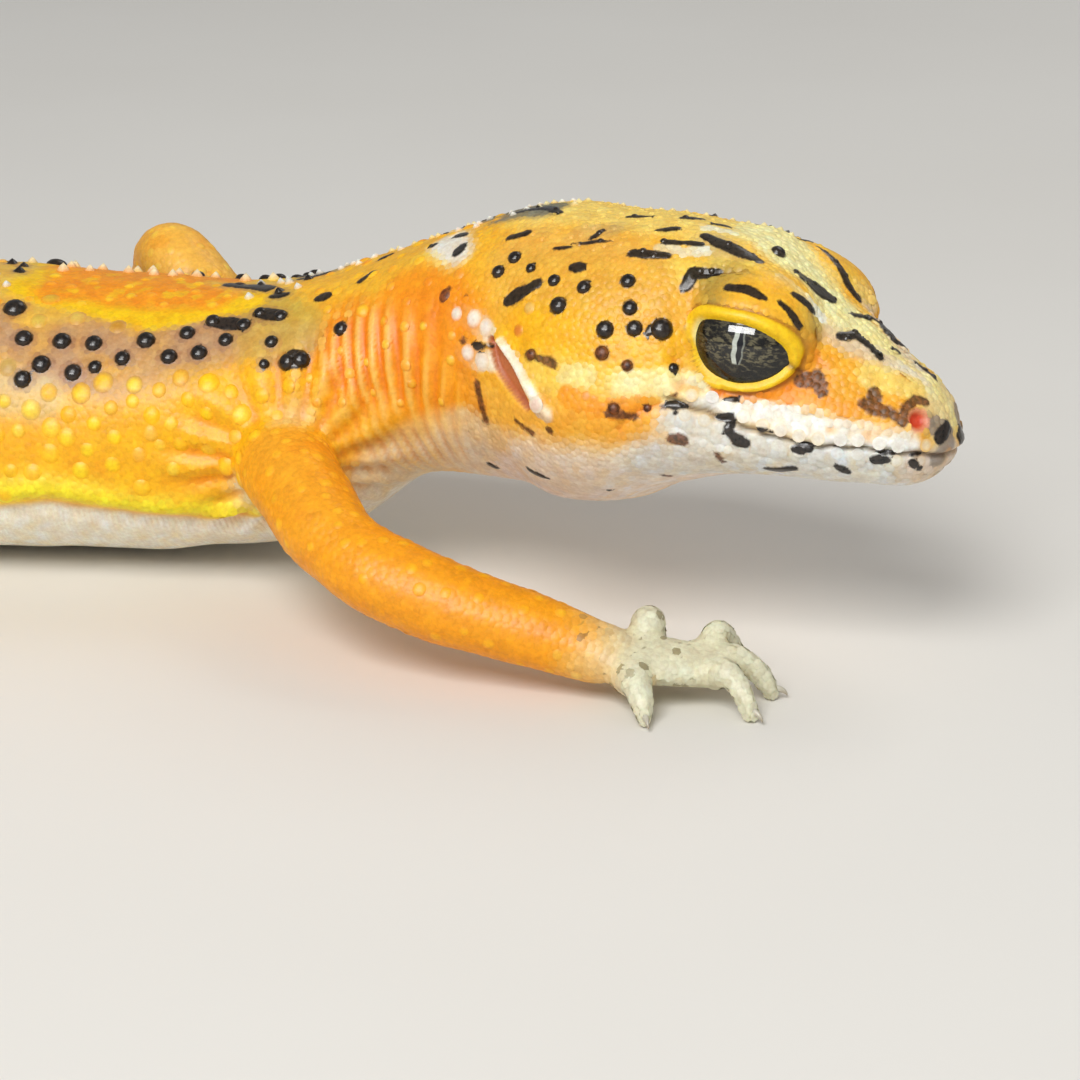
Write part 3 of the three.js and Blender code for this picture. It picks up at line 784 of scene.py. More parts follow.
def layOn(paint, *washes):
    # each wash in turn: its colour, and how much of it lies at each point
    for colour, amount in washes:
        paint = paint + (linear(colour) - paint) * np.clip(amount, 0, 1)[:, None]
    return paint


bands = {"from": 57, "apart": 27}  # the back's dark bands, along the spine


def bandTurn(d):
    # the bands as an angle, a quarter turn past level in the middle of a dark one
    return (d - bands["from"]) * 2 * pi / bands["apart"] - 0.5 * pi


def bodyColours():
    cloud = ripple(skin, 5, 21)
    speck = ripple(skin, 1.6, 22)
    height = rise + 5 * cloud
    trunk, tail = fade(37, 42, along), fade(100, 106, along)
    band = 0.5 + 0.5 * np.sin(bandTurn(along) + 0.5 * cloud)
    banded = fade(bands["from"], bands["from"] + 4, along) * fade(10, 40, height)
    return layOn(
        np.tile(linear((252, 190, 66)), (len(skin), 1)),
        # the back, bands across it, and the pale belly
        ((198, 156, 130), trunk * fade(18, 28, height) * fade(66, 54, height) * (0.85 + 0.3 * speck)),
        ((232, 190, 104), fade(56, 66, height) * trunk),
        ((246, 186, 70), banded * fade(0.45, 0.75, 1 - band)),
        ((214, 178, 148), banded * fade(0.55, 0.8, band)),
        ((254, 184, 24), trunk * fade(24, 12, height) * 0.9),
        ((255, 232, 66), trunk * bell(lowness - 2, 6) * fade(104, 98, along)),
        ((250, 246, 234), fade(-3, -8, lowness) * fade(30, 36, along)),
        # the tail, orange at its root, then white
        ((250, 164, 62), tail * fade(-30, 0, height) * 0.9),
        ((238, 222, 196), fade(118, 124, along) * 0.95),
        ((240, 226, 206), tail * fade(-10, -30, height)),
    )


def limbColours(paint, name, limb):
    # far: millimetres off the limb; down: how far down it; past: how far beyond the wrist
    centres, radii, stops = limbPath(limb)
    far = np.full(len(skin), 99.0)
    down = np.zeros(len(skin))
    for k in range(len(centres) - 1):
        part = segmentDistance(skin[limbPoints], centres[k], centres[k + 1])[0] - radii[k]
        closer = part < far[limbPoints]
        far[limbPoints] = np.where(closer, part, far[limbPoints])
        down[limbPoints] = np.where(closer, k * limbStep, down[limbPoints])
    wrist = np.array(limb["joints"][-1])
    _, ahead, _ = pawDirections(limb)
    past = (skin - wrist) @ ahead
    onPaw = (np.linalg.norm(skin - wrist - 4 * ahead, axis=1) < 11) & (offBody > 0.5)
    mine = ((far < 1.6) | onPaw) & (offBody > 0.02)
    here = np.where(mine, offBody, 0)
    speck = ripple(skin, 2.2, 31)
    colours = limbPaint[name]
    atEnd = fade(stops[3] - 3, stops[3] - 1, down)
    palm = atEnd * fade(-1.6, 2.4, past + 0.35 * speck)
    dots = fade(0.85, 1.05, ripple(skin, 0.34, 33)) * fade(-3, -1, past) * fade(7, 4, past)
    paint = layOn(
        paint,
        (colours["upper"], here),
        (colours["lower"], here * fade(stops[2] - 4, stops[2] + 3, down + speck)),
        (colours["root"], here * fade(stops[1] + 3.5, stops[1] + 0.5, down + speck) * 0.4),
        ((246, 158, 46), 0.4 * here * fade(0.2, 0.9, ripple(skin, 1.6, 35))),
        (colours["wrist"], here * fade(stops[3] - 3, stops[3], down + 0.5 * speck)),
        (colours["paw"], here * onPaw * np.maximum(palm, fade(0.7, 1.6, far))),
        ((112, 96, 84), 0.6 * here * dots * onPaw * atEnd),
    )
    return paint, np.where(mine, down, -1)


limbPaint = {
    "right_fore": {"root": (253, 182, 70), "upper": (252, 172, 50), "lower": (253, 168, 36),
                   "wrist": (247, 190, 112), "paw": (226, 224, 204)},
    "left_fore": {"root": (253, 190, 90), "upper": (254, 196, 104), "lower": (252, 182, 78),
                  "wrist": (245, 196, 130), "paw": (226, 224, 204)},
    "right_hind": {"root": (246, 190, 84), "upper": (244, 182, 84), "lower": (240, 178, 92),
                   "wrist": (232, 190, 130), "paw": (216, 208, 184)},
}
limbPaint["left_hind"] = limbPaint["right_hind"]
limbPoints = np.flatnonzero(offBody > 0.02)
paint = bodyColours()
for colour, half, strength, places in strokes:
    for run in bothSides(places, (0.3, 1.5)):
        d = chainDistance(run, half * 1.7) + 0.12 * half * ripple(skin, 1.8, 41)
        outer, inner = (1.5, 0.55) if half > 0.7 else (1.25, 0.75)
        paint = layOn(paint, (colour, strength * fade(half * outer, half * inner, d) * (1 - offBody)))
# finer patches of yellow and orange
patches = onHead * fade(34, 24, rise) * fade(6, 12, rise)
saddle = fade(2.4, 1.6, chainDistance([(54.4, 86), (50, 84), (45.5, 80)], 3))
paint = layOn(
    paint,
    ((250, 172, 60), 0.45 * fade(0.3, 1.0, ripple(skin, 1.2, 24)) * patches),
    ((255, 208, 44), 0.6 * fade(0.1, 0.9, ripple(skin, 0.8, 25)) * saddle),
)
paint = np.clip(paint * (1 + ripple(skin, 0.8, 23)[:, None] * (0.0, 0.05, 0.12)), 0, 1)
limbDown = np.full(len(skin), -1.0)
for name, limb in limbs.items():
    paint, down = limbColours(paint, name, limb)
    limbDown = np.maximum(limbDown, down)
paint = layOn(
    paint,
    # the lids, with painted shade inside their edge and in the creases about them
    ((255, 208, 46), fade(1.35, 1.05, lidField) * fade(-0.6, 0.0, lidField)),
    ((246, 226, 160), fade(0.35, 0.1, lidField) * fade(12.2, 13, behind)),
    # painted shade: the skin tucked inside the lids' edge, under the lids, is dark brown
    ((60, 40, 20), fade(-0.05, -0.4, lidField)),
    # painted shade: the carved crease round the lids, the brow's groove and the notch where the lids meet
    # are darkened
    ((150, 110, 60), 0.6 * bell(lidField - 1.3, 0.16)),
    ((132, 112, 76), 0.6 * bell(fromBrow, 0.17) * onHead),
    ((112, 88, 62), 0.85 * bell(fromCorner, 0.16) * onHead),
    # the ear, the nostrils and the seam of the mouth
    ((196, 122, 98), fade(0.1, -0.04, fromEar)),
    ((228, 150, 136), fade(0.78, 0.6, fromNostril) * 0.9),
    ((214, 84, 74), fade(0.54, 0.34, fromNostril)),
    ((96, 70, 72), 0.75 * bell(fromMouth, 0.13) * mouthShut),
)
# deeper yellows and oranges, with the whites left white
paint = np.clip(paint, 1e-4, 1) ** (1, 1.04, 1.3)
print("skin painted")

# Dark streaks: half width, then the places each one joins on the right side of the body.
blackStreaks = [
    # temple
    (0.36, (20.5, 47), (20.0, 48)), (0.36, (22.2, 38), (23.7, 30)), (0.16, (15.1, 31), (15.0, 33)),
    # crown
    (0.28, (17.6, 57), (16.8, 58), (15.9, 60)), (0.24, (17.4, 71), (16.4, 75)),
    (0.22, (16.9, 84), (16.2, 88)), (0.18, (22.2, 54), (21.4, 56)), (0.12, (21.4, 58), (19.4, 61)),
    (0.2, (20.6, 62), (20.3, 67)), (0.15, (19.9, 79), (18.6, 82)), (0.22, (16.4, 66), (14.6, 70)),
    (0.34, (14.7, 74), (13.5, 72), (11.2, 69)), (0.52, (9.6, 79), (8.8, 82), (8.1, 85)),
    (0.27, (8.6, -3.9, 7.4), (7.7, -3.1, 6.6)), (0.2, (15.2, 85), (14.5, 87)),
    (0.24, (10.6, 2.9, 8.1), (9.1, 2.6, 7.6), (8.4, 2.3, 7.0), (7.6, 2.4, 6.1)),
    (0.3, (14.6, 5.4, 6.7), (13.5, 4.1, 7.4)),
    (0.24, (11.6, -5.5, 7.2), (10.6, -5.5, 7.3), (9.5, -5.4, 7.1)),
    (0.25, (8.8, -5.0, 7.0), (7.8, -4.6, 6.0)),
    # nape
    (0.3, (26.0, 88), (24.4, 82), (23.4, 76)), (0.22, (25.1, 61), (24.2, 62)), (0.32, (29.2, 75)),
    (0.3, (28.2, 78), (27.7, 76)), (0.32, (27.5, 60), (27.4, 64)), (0.22, (29.7, 97)),
    (0.2, (32.6, 80), (32, 83)), (0.32, (14.1, -5.4, 6.7), (14.0, -4.8, 7.3), (12.8, -4.1, 7.5)),
    (0.16, (25.5, 13), (24.5, 12)),
    # snout
    (0.25, (6.5, 66), (5.9, 75), (5.0, 76), (4.5, 72)), (0.2, (6.8, 89), (6.4, 105), (5.3, 112)),
    (0.19, (4.4, 94), (4.1, 95)), (0.18, (3.3, 104), (2.1, 101)), (0.42, (0.55, 36), (0.35, 62)),
    # lips and jaw
    (0.14, (10.7, 11), (10.0, 12)), (0.21, (13.2, 7), (12.4, 8)), (0.16, (12.8, 5)),
    (0.24, (10.7, 5), (10.2, 6), (10.1, 3)), (0.3, (10.2, 0), (9.7, -4), (9.3, -5)),
    (0.12, (8.6, 5), (8.0, 4)), (0.12, (7.0, 2), (5.9, 1)), (0.11, (4.9, 1), (4.2, 1)),
    (0.13, (2.8, 2), (2.0, 3)), (0.1, (1.3, 3), (0.8, 5)), (0.22, (6.9, -4), (6.1, -3)),
    (0.2, (2.9, -5), (2.3, -4)), (0.17, (1.3, -4), (1.1, -8)), (0.16, (0.9, -14)),
    (0.26, (8.4, -21), (7.8, -23), (7.0, -19)), (0.22, (4.8, -14), (4.3, -19)),
    (0.22, (26.2, -50), (25.6, -52)), (0.18, (21.6, -38), (20.3, -39)), (0.16, (17, -44)),
    # neck and trunk
    (0.32, (35.8, 55), (35.1, 55)), (0.27, (32.9, 59), (32.4, 63)), (0.32, (39.7, 69), (38.6, 67)),
    (0.5, (43.4, 90), (41.6, 86), (40.4, 80)), (0.42, (40.0, 55), (38.3, 50)),
    (0.42, (43.2, 53), (41.1, 49)), (0.5, (37.8, 24.5), (36.7, 23.5)), (0.34, (38.6, 92), (36.8, 92)),
]
brownStreaks = [
    (0.34, (6.9, 32), (6.3, 37)), (0.34, (6.3, 40), (6.0, 33)), (0.34, (4.1, 34), (2.9, 34)),
    (0.3, (3.8, 45), (3.6, 38)), (0.19, (2.9, 37), (2.1, 31)),
    (0.2, (2.0, 31), (2.1, 44), (1.9, 55), (1.4, 62)), (0.24, (21.5, 13), (19.8, 12)),
    (0.19, (16.1, 0), (14.8, 0)), (0.33, (12.8, -6), (12.4, -7)), (0.14, (10.7, -12), (10.5, -17)),
    (0.18, (13.9, -33), (13.8, -36)), (0.22, (25.4, -4), (24.9, -21)), (0.18, (22.1, -15), (20.7, -16)),
    (0.22, (19.4, -12)), (0.2, (26.3, 15)), (0.18, (27.6, 36), (27.3, 40)), (0.14, (26.3, 35)),
    (0.12, (13.4, 6), (12.9, 12)),
]
# Raised spots on the right side: radius, distance, degrees.
blackDomes = [
    (0.4, 24.8, 43), (0.4, 24.2, 49), (0.3, 23.0, 44), (0.37, 21.2, 41), (0.4, 19.3, 40), (0.5, 20.3, 32),
    (0.42, 17.0, 46), (0.42, 16.4, 37), (0.5, 17.3, 28), (0.45, 15.8, 31), (0.6, 14.5, 34),
    (0.28, 13.5, 21), (0.42, 11.2, 83), (0.44, 33.7, 32), (0.5, 36.6, 23), (0.52, 37.7, 24),
    (0.3, 39.2, 26), (0.4, 38.8, 36), (0.44, 42.1, 41), (0.46, 43.2, 53), (0.46, 41.1, 49),
    (0.4, 40.0, 55), (0.42, 38.3, 50), (0.5, 43.8, 37), (0.5, 45.7, 36), (0.47, 44.9, 47),
    (0.55, 47.3, 44), (0.46, 48.7, 36), (0.4, 50.4, 33), (0.52, 50.6, 43), (0.52, 51.7, 31),
    (0.55, 52.7, 44), (0.56, 53.7, 34), (0.52, 54.8, 28), (0.54, 55.1, 44), (0.7, 56.2, 59),
]
brownDomes = [
    (0.42, 17.1, 20), (0.33, 15.6, 18), (0.34, 21.3, 13), (0.36, 15.9, 2), (0.24, 14.3, 4),
]
yellowDomes = [
    (53.2, 24), (51.2, 23), (49.8, 27), (47.8, 25), (46.3, 22), (44.9, 26), (54.3, 18), (52.0, 16),
    (50.4, 12), (49.3, 17), (48.0, 19), (55.1, 10), (53.1, 11), (51.0, 3), (53.3, 2), (46.7, 2),
    (45.5, 1), (45.8, 9), (48, -1), (55.9, 21), (46.9, 13), (44.6, 17), (43.2, 23), (43.4, 11),
    (41.6, 18), (41.2, 8), (49.2, 7), (47.2, 7), (52.1, 8), (49.6, -4), (51.6, -5), (54.6, -4),
    (46.3, -7), (43.8, -3), (41.9, 0), (39.6, 13), (39.0, 4),
]
# Paler or browner skin-coloured domes: radius, distance, degrees, colour.
otherDomes = [
    (0.36, 22.1, 29, (236, 190, 96)), (0.36, 22.5, 20, (226, 134, 40)), (0.26, 17.5, 4, (244, 170, 90)),
    (0.48, 49.5, 51, (206, 150, 48)), (0.5, 55.8, 33, (200, 164, 84)), (0.5, 54.4, 53, (224, 190, 78)),
    (0.55, 54.3, 66, (222, 176, 50)), (0.5, 52.1, 55, (222, 186, 84)), (0.4, 57.8, 27, (232, 196, 90)),
    (0.36, 27.5, 38, (240, 120, 10)), (0.3, 28.6, 47, (250, 150, 20)), (0.3, 29.6, 38, (252, 160, 20)),
    (0.4, 26.7, 28, (246, 238, 224)), (0.52, 25.7, 24, (246, 238, 224)),
    (0.46, 24.9, 19.4, (246, 238, 224)), (0.46, 26.0, 9.4, (246, 238, 224)),
    (0.52, 25.1, 5.2, (246, 238, 224)), (0.4, 20.2, -3.4, (240, 216, 200)),
]
tubercles = {
    "apart": 1.32, "across": 1.18,  # millimetres between them along the body, and how much more round it
    "blackHigh": 0.55, "yellowHigh": 0.24, "whiteHigh": 0.15,  # height over radius
}
dark, umber, sandy = (24, 18, 14), (96, 48, 18), (246, 206, 120)


class Bumps:
    # every large raised scale: its root, radius, height, colour, whether it is black or brown, its shape
    def __init__(self):
        self.rows = []
        self.places = np.zeros((6000, 3))

    def put(self, root, radius, high, colour, stain="", shape="dome"):
        self.places[len(self.rows)] = skin[root]
        self.rows.append((root, radius, radius * high, tuple(colour), stain, shape))

    def clear(self, root, room):
        # true where nothing stands within room of the root
        taken = self.places[: len(self.rows)]
        return np.linalg.norm(taken - skin[root], axis=1).min() > room


def chosenBumps(bumps):
    for radius, d, turn in blackDomes:
        bumps.put(onSkin(d, turn), radius, tubercles["blackHigh"], dark, "black")
    for radius, d, turn in brownDomes:
        bumps.put(onSkin(d, turn), radius, tubercles["blackHigh"], umber, "brown")
    for d, turn in yellowDomes:
        tone = (255, 204 + chance.integers(-16, 16), chance.integers(10, 70))
        high = tubercles["yellowHigh"] * chance.uniform(0.7, 1.1)
        bumps.put(onSkin(d, turn), chance.uniform(0.42, 0.66), high, tone, "", "soft")
    for radius, d, turn, tone in otherDomes:
        high = tubercles["whiteHigh" if tone[2] > 200 else "yellowHigh"]
        bumps.put(onSkin(d, turn), radius * 1.15, high, tone, "", "soft")
    # the left side's, a little moved
    for radius, d, turn in blackDomes:
        if turn > midline:
            continue
        root = onSkin(d + chance.uniform(-0.5, 0.5), 180 - turn + chance.uniform(-3, 3))
        if bumps.clear(root, 0.8):
            bumps.put(root, radius, tubercles["blackHigh"], dark, "black")


def bumpKind(d, turn):
    # radius, height over radius, colour, stain and shape at a place, or nothing where the skin is plain
    level = turn if turn < 90 else 180 - turn
    draw = chance.random()
    black = (0.46, tubercles["blackHigh"], dark, "black", "dome")
    knob = (0.32, 0.3, (255, 178 + 40 * draw, 56), "", "soft")
    yellow = (0.54, tubercles["yellowHigh"], (255, 204, 28), "", "soft")
    if d > 104:
        ringed = abs((d - 112) % relief["ringApart"] - 0.6) < 0.72
        return (0.42, 0.8, (244, 232, 206), "", "cone") if ringed and level > -15 else None
    if level < -14 or (turn < 90 and d < 57 and 24 < level < 64 and d > 36):
        return None
    if level > 70 and (37 < d < 43 or 56.5 < d < 62):
        if draw < 0.7:
            return 0.36, 0.9, (230, 233, 226), "", "cone"
        return 0.34, 0.7, dark, "black", "cone"
    if level > 64 and 37 < d < 60:
        if turn > 97:
            return 0.44, 0.95, (250, 230, 184), "", "cone"
        return (0.36, 0.25, (255, 160 + 60 * draw, 40), "", "soft") if draw < 0.8 else None
    if d < 37:
        if draw > 0.75:
            return None
        return (0.4, 0.3, (252, 160 + 60 * draw, 40), "", "soft") if level > 30 else knob
    if level < 24:
        return yellow if draw < 0.9 else None
    banded = np.sin(bandTurn(d)) > -0.1
    if draw < (0.62 if banded else 0.25):
        return black
    return (0.38, 0.7, sandy, "", "dome") if draw < 0.9 else None


def scatteredBumps(bumps):
    d = 27.0
    while d < 178:
        sizes = spineAt(np.array([d]))[0]
        step = np.degrees(tubercles["apart"] * tubercles["across"] / max(sizes[3], 1.2))
        for turn in np.arange(-18 + chance.uniform(0, step), 200, step):
            place = d + chance.uniform(-0.35, 0.35), turn + chance.uniform(-0.25, 0.25) * step
            root, kind = onSkin(*place), bumpKind(*place)
            if kind is None or not bumps.clear(root, tubercles["apart"] * 0.84):
                continue
            radius, high, tone, stain, shape = kind
            bumps.put(root, radius * chance.uniform(0.86, 1.14), high, tone, stain, shape)
        d += tubercles["apart"]


def headBumps(bumps):
    # pale cones over the nape and crown, and finer low ones between them
    for _ in range(420):
        d, turn = chance.uniform(12, 36), chance.uniform(84, 124)
        root = onSkin(d, turn)
        if d < 23 and turn < 97 + 0.6 * (23 - d) or not bumps.clear(root, 0.62):
            continue
        tone = (244, 242, 232) if d > 24 and chance.random() < 0.7 else (252, 236, 176)
        bumps.put(root, 0.3 if d > 23 else 0.26, 0.75, tone, "", "cone")
    for _ in range(500):
        root = onSkin(chance.uniform(2, 24), chance.uniform(56, 122))
        if bumps.clear(root, 0.5):
            bumps.put(root, 0.2, 0.4, linearBack(np.minimum(paint[root] * 1.06 + 0.01, 1)), "", "soft")


def lipBumps(bumps):
    # a row of wider scales along each lip
    lips = np.flatnonzero(mouthShut > 0.5)
    for s in (-1, 1):
        for place in np.arange(mouth["scale"], 12.4, mouth["scale"]):
            for lift, radius, high in ((0.4, 0.36, 0.05), (-0.45, 0.34, 0.04)):
                miss = np.hypot(behind[lips] - place, fromMouth[lips] - lift) + 9 * (side[lips] != s)
                root = lips[miss.argmin()]
                if bumps.clear(root, 0.6):
                    tone = 0.45 * linearBack(paint[root]) + 0.55 * np.array((236, 238, 234))
                    bumps.put(root, radius, high, tone, "", "soft")


def limbBumps(bumps):
    for limb in limbs.values():
        centres, radii, _ = limbPath(limb)
        for k in range(8, len(centres) - 3, 2):
            for _ in range(5):
                out = unit(chance.normal(size=3) + (0, 0, 0.5))
                target = centres[k] + out * radii[k]
                near = limbPoints[np.linalg.norm(skin[limbPoints] - target, axis=1).argmin()]
                if offBody[near] < 0.6 or not bumps.clear(near, 0.85):
                    continue
                tone = linearBack(np.minimum(paint[near] * (1.05, 1.2, 1.25) + (0.01, 0.02, 0.0), 1))
                bumps.put(near, chance.uniform(0.3, 0.42), 0.16, tone, "", "soft")


def linearBack(light):
    # the colour chart's 0 to 255 for a colour given as light
    curved = 1.055 * np.maximum(light, 1e-6) ** (1 / 2.4) - 0.055
    return 255 * np.where(light <= 0.0031308, light * 12.92, curved)


def streakField(streaks):
    # millimetres from the edge of the nearest streak, less than 0 inside one
    field = np.full(len(skin), 3.0)
    for half, *places in streaks:
        shift = chance.uniform(-1, 1, 2) * (0.35, 3)
        swell = 0.25 * half if len(places) > 1 else 0
        for run in bothSides(places, shift):
            field = np.minimum(field, chainDistance(run, half + 1.5, swell) - half * 0.92)
    return field + 0.07 * ripple(skin, 0.9, 61)


def withBumps(field, bumps, stain):
    for root, radius, _, _, own, _ in bumps.rows:
        if own == stain:
            centre = skin[root]
            near = np.flatnonzero((np.abs(skin - centre) < radius + 0.8).all(1))
            field[near] = np.minimum(field[near], np.linalg.norm(skin[near] - centre, axis=1) - radius)
    return field


bumps = Bumps()
chosenBumps(bumps)
scatteredBumps(bumps)
headBumps(bumps)
lipBumps(bumps)
limbBumps(bumps)
black = withBumps(streakField(blackStreaks), bumps, "black")
brown = withBumps(streakField(brownStreaks), bumps, "brown")
darkRings = {"from": 122, "start": 128, "apart": 15, "half": 3.6, "ragged": 0.9}  # round the tail
ring = (along - darkRings["start"]) % darkRings["apart"] - darkRings["apart"] / 2
ring = np.abs(ring) - darkRings["half"]
ring = ring + darkRings["ragged"] * ripple(skin, 4, 51) + 3 * fade(-10, -40, rise)
black = np.minimum(black, np.where((along > darkRings["from"]) & (offBody < 0.5), ring, 3))
# dark marks stand a little proud of the skin
skin += normals * (0.08 * fade(0.05, -0.15, black) * (1 - offBody))[:, None]
print("markings laid,", len(bumps.rows), "large scales")

# the skin is dusky round the dark marks of the back
dusk = 0.45 * fade(0.4, 0.0, black) * fade(36, 40, along) * fade(16, 24, rise)
paint = layOn(paint, ((150, 108, 92), dusk))

# painted shade: the skin is made darker and browner in its hollows and creases, but not at the lids, the
# mouth's seam or the belly
hollow = ((relaxed(skin, 0.5, 8) - skin) * normals).sum(1)
creaseShade = fade(0.008, 0.05, hollow) * fade(0.3, 0.8, lidField) * (1 - mouthShut * bell(fromMouth, 0.8))
paint = paint * (1 - creaseShade[:, None] * np.array([0.08, 0.26, 0.44]) * fade(-20, -4, lowness)[:, None])
# painted light: the skin is made paler on its ridges, and washed pale yellow on the crests of the neck's
# folds
ridgeLight = fade(-0.004, -0.04, hollow)
paint = paint + 0.35 * (np.minimum(paint * (1.05, 1.13, 1.3), 1) - paint) * ridgeLight[:, None]
pale = 0.55 * ridgeLight * bell(along - 32, 5) * fade(60, 30, rise) * (1 - offBody)
paint = layOn(paint, ((255, 216, 112), pale))


class Wire:
    # a value in a finish's nodes; a sum written with it adds Math nodes
    def __init__(self, finish, socket):
        self.finish, self.socket = finish, socket

    def maths(self, operation, a, b=0.0):
        return self.finish.node("ShaderNodeMath", {"operation": operation}, {0: a, 1: b})

    def __add__(self, other):
        return self.maths("ADD", self, other)

    def __radd__(self, other):
        return self.maths("ADD", other, self)

    def __sub__(self, other):
        return self.maths("SUBTRACT", self, other)

    def __rsub__(self, other):
        return self.maths("SUBTRACT", other, self)

    def __mul__(self, other):
        return self.maths("MULTIPLY", self, other)

    def __rmul__(self, other):
        return self.maths("MULTIPLY", other, self)

    def __truediv__(self, other):
        return self.maths("DIVIDE", self, other)

    def held(self):
        # kept between 0 and 1
        return self.finish.node("ShaderNodeClamp", {}, {"Value": self})

    def sine(self):
        return self.maths("SINE", self)

    def size(self):
        return self.maths("ABSOLUTE", self)


class Finish:
    def __init__(self, name):
        self.material = bpy.data.materials.new(name)
        self.material.use_nodes = True
        self.tree = self.material.node_tree
        self.shader = self.tree.nodes["Principled BSDF"]

    def node(self, kind, settings, sockets, output=0):
        made = self.tree.nodes.new(kind)
        for key, value in settings.items():
            setattr(made, key, value)
        for key, value in sockets.items():
            self.join(made.inputs[key], value)
        return Wire(self, made.outputs[output])

    def join(self, target, value):
        if isinstance(value, Wire):
            self.tree.links.new(value.socket, target)
        else:
            target.default_value = value

    def set(self, **values):
        for key, value in values.items():
            self.join(self.shader.inputs[key.replace("_", " ")], value)

    def value(self, name):
        return self.node("ShaderNodeAttribute", {"attribute_name": name}, {}, "Fac")

    def colour(self, name):
        return self.node("ShaderNodeAttribute", {"attribute_name": name}, {}, "Color")

    def place(self):
        return self.node("ShaderNodeTexCoord", {}, {}, "Object")

    def noise(self, place, size, detail=2.0, rough=0.5):
        # size is in millimetres
        sockets = {"Vector": place, "Scale": 1000 / size, "Detail": detail, "Roughness": rough}
        return self.node("ShaderNodeTexNoise", {}, sockets, "Fac")

    def mix(self, amount, a, b, blend="MIX"):
        settings = {"data_type": "RGBA", "blend_type": blend, "clamp_factor": True}
        return self.node("ShaderNodeMix", settings, {0: amount, 6: a, 7: b}, 2)


def shade(*colour):
    return (*linear(colour), 1)


skinLook = {
    "mottle": 0.24, "grain": 0.32, "rough": 0.46, "shine": 0.07, "blackShine": 0.3,
    "black": ((11, 8, 6), (42, 32, 25)), "brown": ((56, 26, 12), (122, 66, 30)),  # each darker, then paler
    "edge": 0.1,  # millimetres over which a dark mark ends
    "depth": 0.0004, "glow": 0.1,
    "ribs": 0.3,  # millimetres between the belly's ribs
    "grains": 0.27, "bump": 0.00005,  # millimetres across the fine grains; metres that they stand up
}


def skinFinish(name, onScales):
    f = Finish(name)
    place = f.place()
    fine = f.noise(place, 0.24, 3, 0.6)
    patchy = f.noise(place, 1.0, 3, 0.55)
    cloudy = f.mix(((patchy - 0.5) * 3 + 0.5).held(), (0.68, 0.5, 0.4, 1), (1.2, 1.22, 1.2, 1))
    grainy = f.mix(((fine - 0.5) * 4 + 0.5).held(), (0.76, 0.66, 0.56, 1), (1.12, 1.12, 1.1, 1))
    base = f.mix(skinLook["mottle"], f.colour("paint"), cloudy, "MULTIPLY")
    base = f.mix(skinLook["grain"], base, grainy, "MULTIPLY")
    wander = (fine - 0.5) * 0.12 + (patchy - 0.5) * 0.1
    brownness = (0.5 - (f.value("brown") + wander) / (skinLook["edge"] * 1.6)).held()
    blackness = (0.5 - (f.value("black") + wander) / skinLook["edge"]).held()
    speckle = ((fine - 0.5) * 5 + 0.5).held()
    base = f.mix(brownness * 0.9, base, f.mix(speckle, *[shade(*tone) for tone in skinLook["brown"]]))
    base = f.mix(blackness * 0.98, base, f.mix(speckle, *[shade(*tone) for tone in skinLook["black"]]))
    rough = skinLook["rough"] + (fine - 0.5) * 0.2 - blackness * 0.16
    cells = {"Vector": place, "Scale": 1000 / skinLook["grains"]}
    grains = f.node("ShaderNodeTexVoronoi", {"feature": "F1"}, cells, "Distance")
    height = (1 - grains * grains) * 0.6 + patchy * 0.4
    if not onScales:
        ribs = (f.value("along") * (2 * pi / skinLook["ribs"]) + patchy * 3).sine() * f.value("belly")
        height = height + ribs * 1.6
    strength = 0.3 if onScales else 0.45
    raised = {"Strength": strength, "Distance": skinLook["bump"], "Height": height}
    bump = f.node("ShaderNodeBump", {}, raised)
    f.set(Base_Color=base, Roughness=rough, Normal=bump, Subsurface_Weight=skinLook["glow"],
          Subsurface_Radius=(1.0, 0.4, 0.15), Subsurface_Scale=skinLook["depth"],
          Coat_Weight=blackness * skinLook["blackShine"] + skinLook["shine"], Coat_Roughness=0.2, IOR=1.34)
    return f.material


def giveColour(mesh, name, values):
    made = mesh.color_attributes.new(name, "FLOAT_COLOR", "POINT")
    made.data.foreach_set("color", np.concatenate([values, np.ones((len(values), 1))], 1).ravel())


def giveValue(mesh, name, values):
    mesh.attributes.new(name, "FLOAT", "POINT").data.foreach_set("value", np.asarray(values, float))


def giveMap(mesh, places):
    corners = np.empty(len(mesh.loops), int)
    mesh.loops.foreach_get("vertex_index", corners)
    mesh.uv_layers.new(name="OFBake").data.foreach_set("uv", places[corners].ravel())


def finished(made, finish):
    made.data.materials.append(finish)
    made.data.shade_smooth()
    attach(made, "root")
    return made


skinPiece = meshObject("skin", skin * millimetre, quads.tolist())
giveColour(skinPiece.data, "paint", paint)
belly = fade(-5, -9, lowness) * fade(30, 36, along) * (1 - offBody)
for name, values in (("black", black), ("brown", brown), ("along", along), ("belly", belly)):
    giveValue(skinPiece.data, name, values)
finished(skinPiece, skinFinish("scaledSkin", False))
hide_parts(*[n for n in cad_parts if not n.startswith("eye_")])
scaleFinish = skinFinish("raisedScales", True)
print("skin made")

coat = {
    # millimetres between small scales, and their height over that
    "crown": (0.38, 0.1), "head": (0.36, 0.06), "neck": (0.36, 0.035), "trunk": (0.46, 0.08),
    "tail": (0.6, 0.1), "limbs": (0.4, 0.05), "paws": (0.28, 0.045),
}
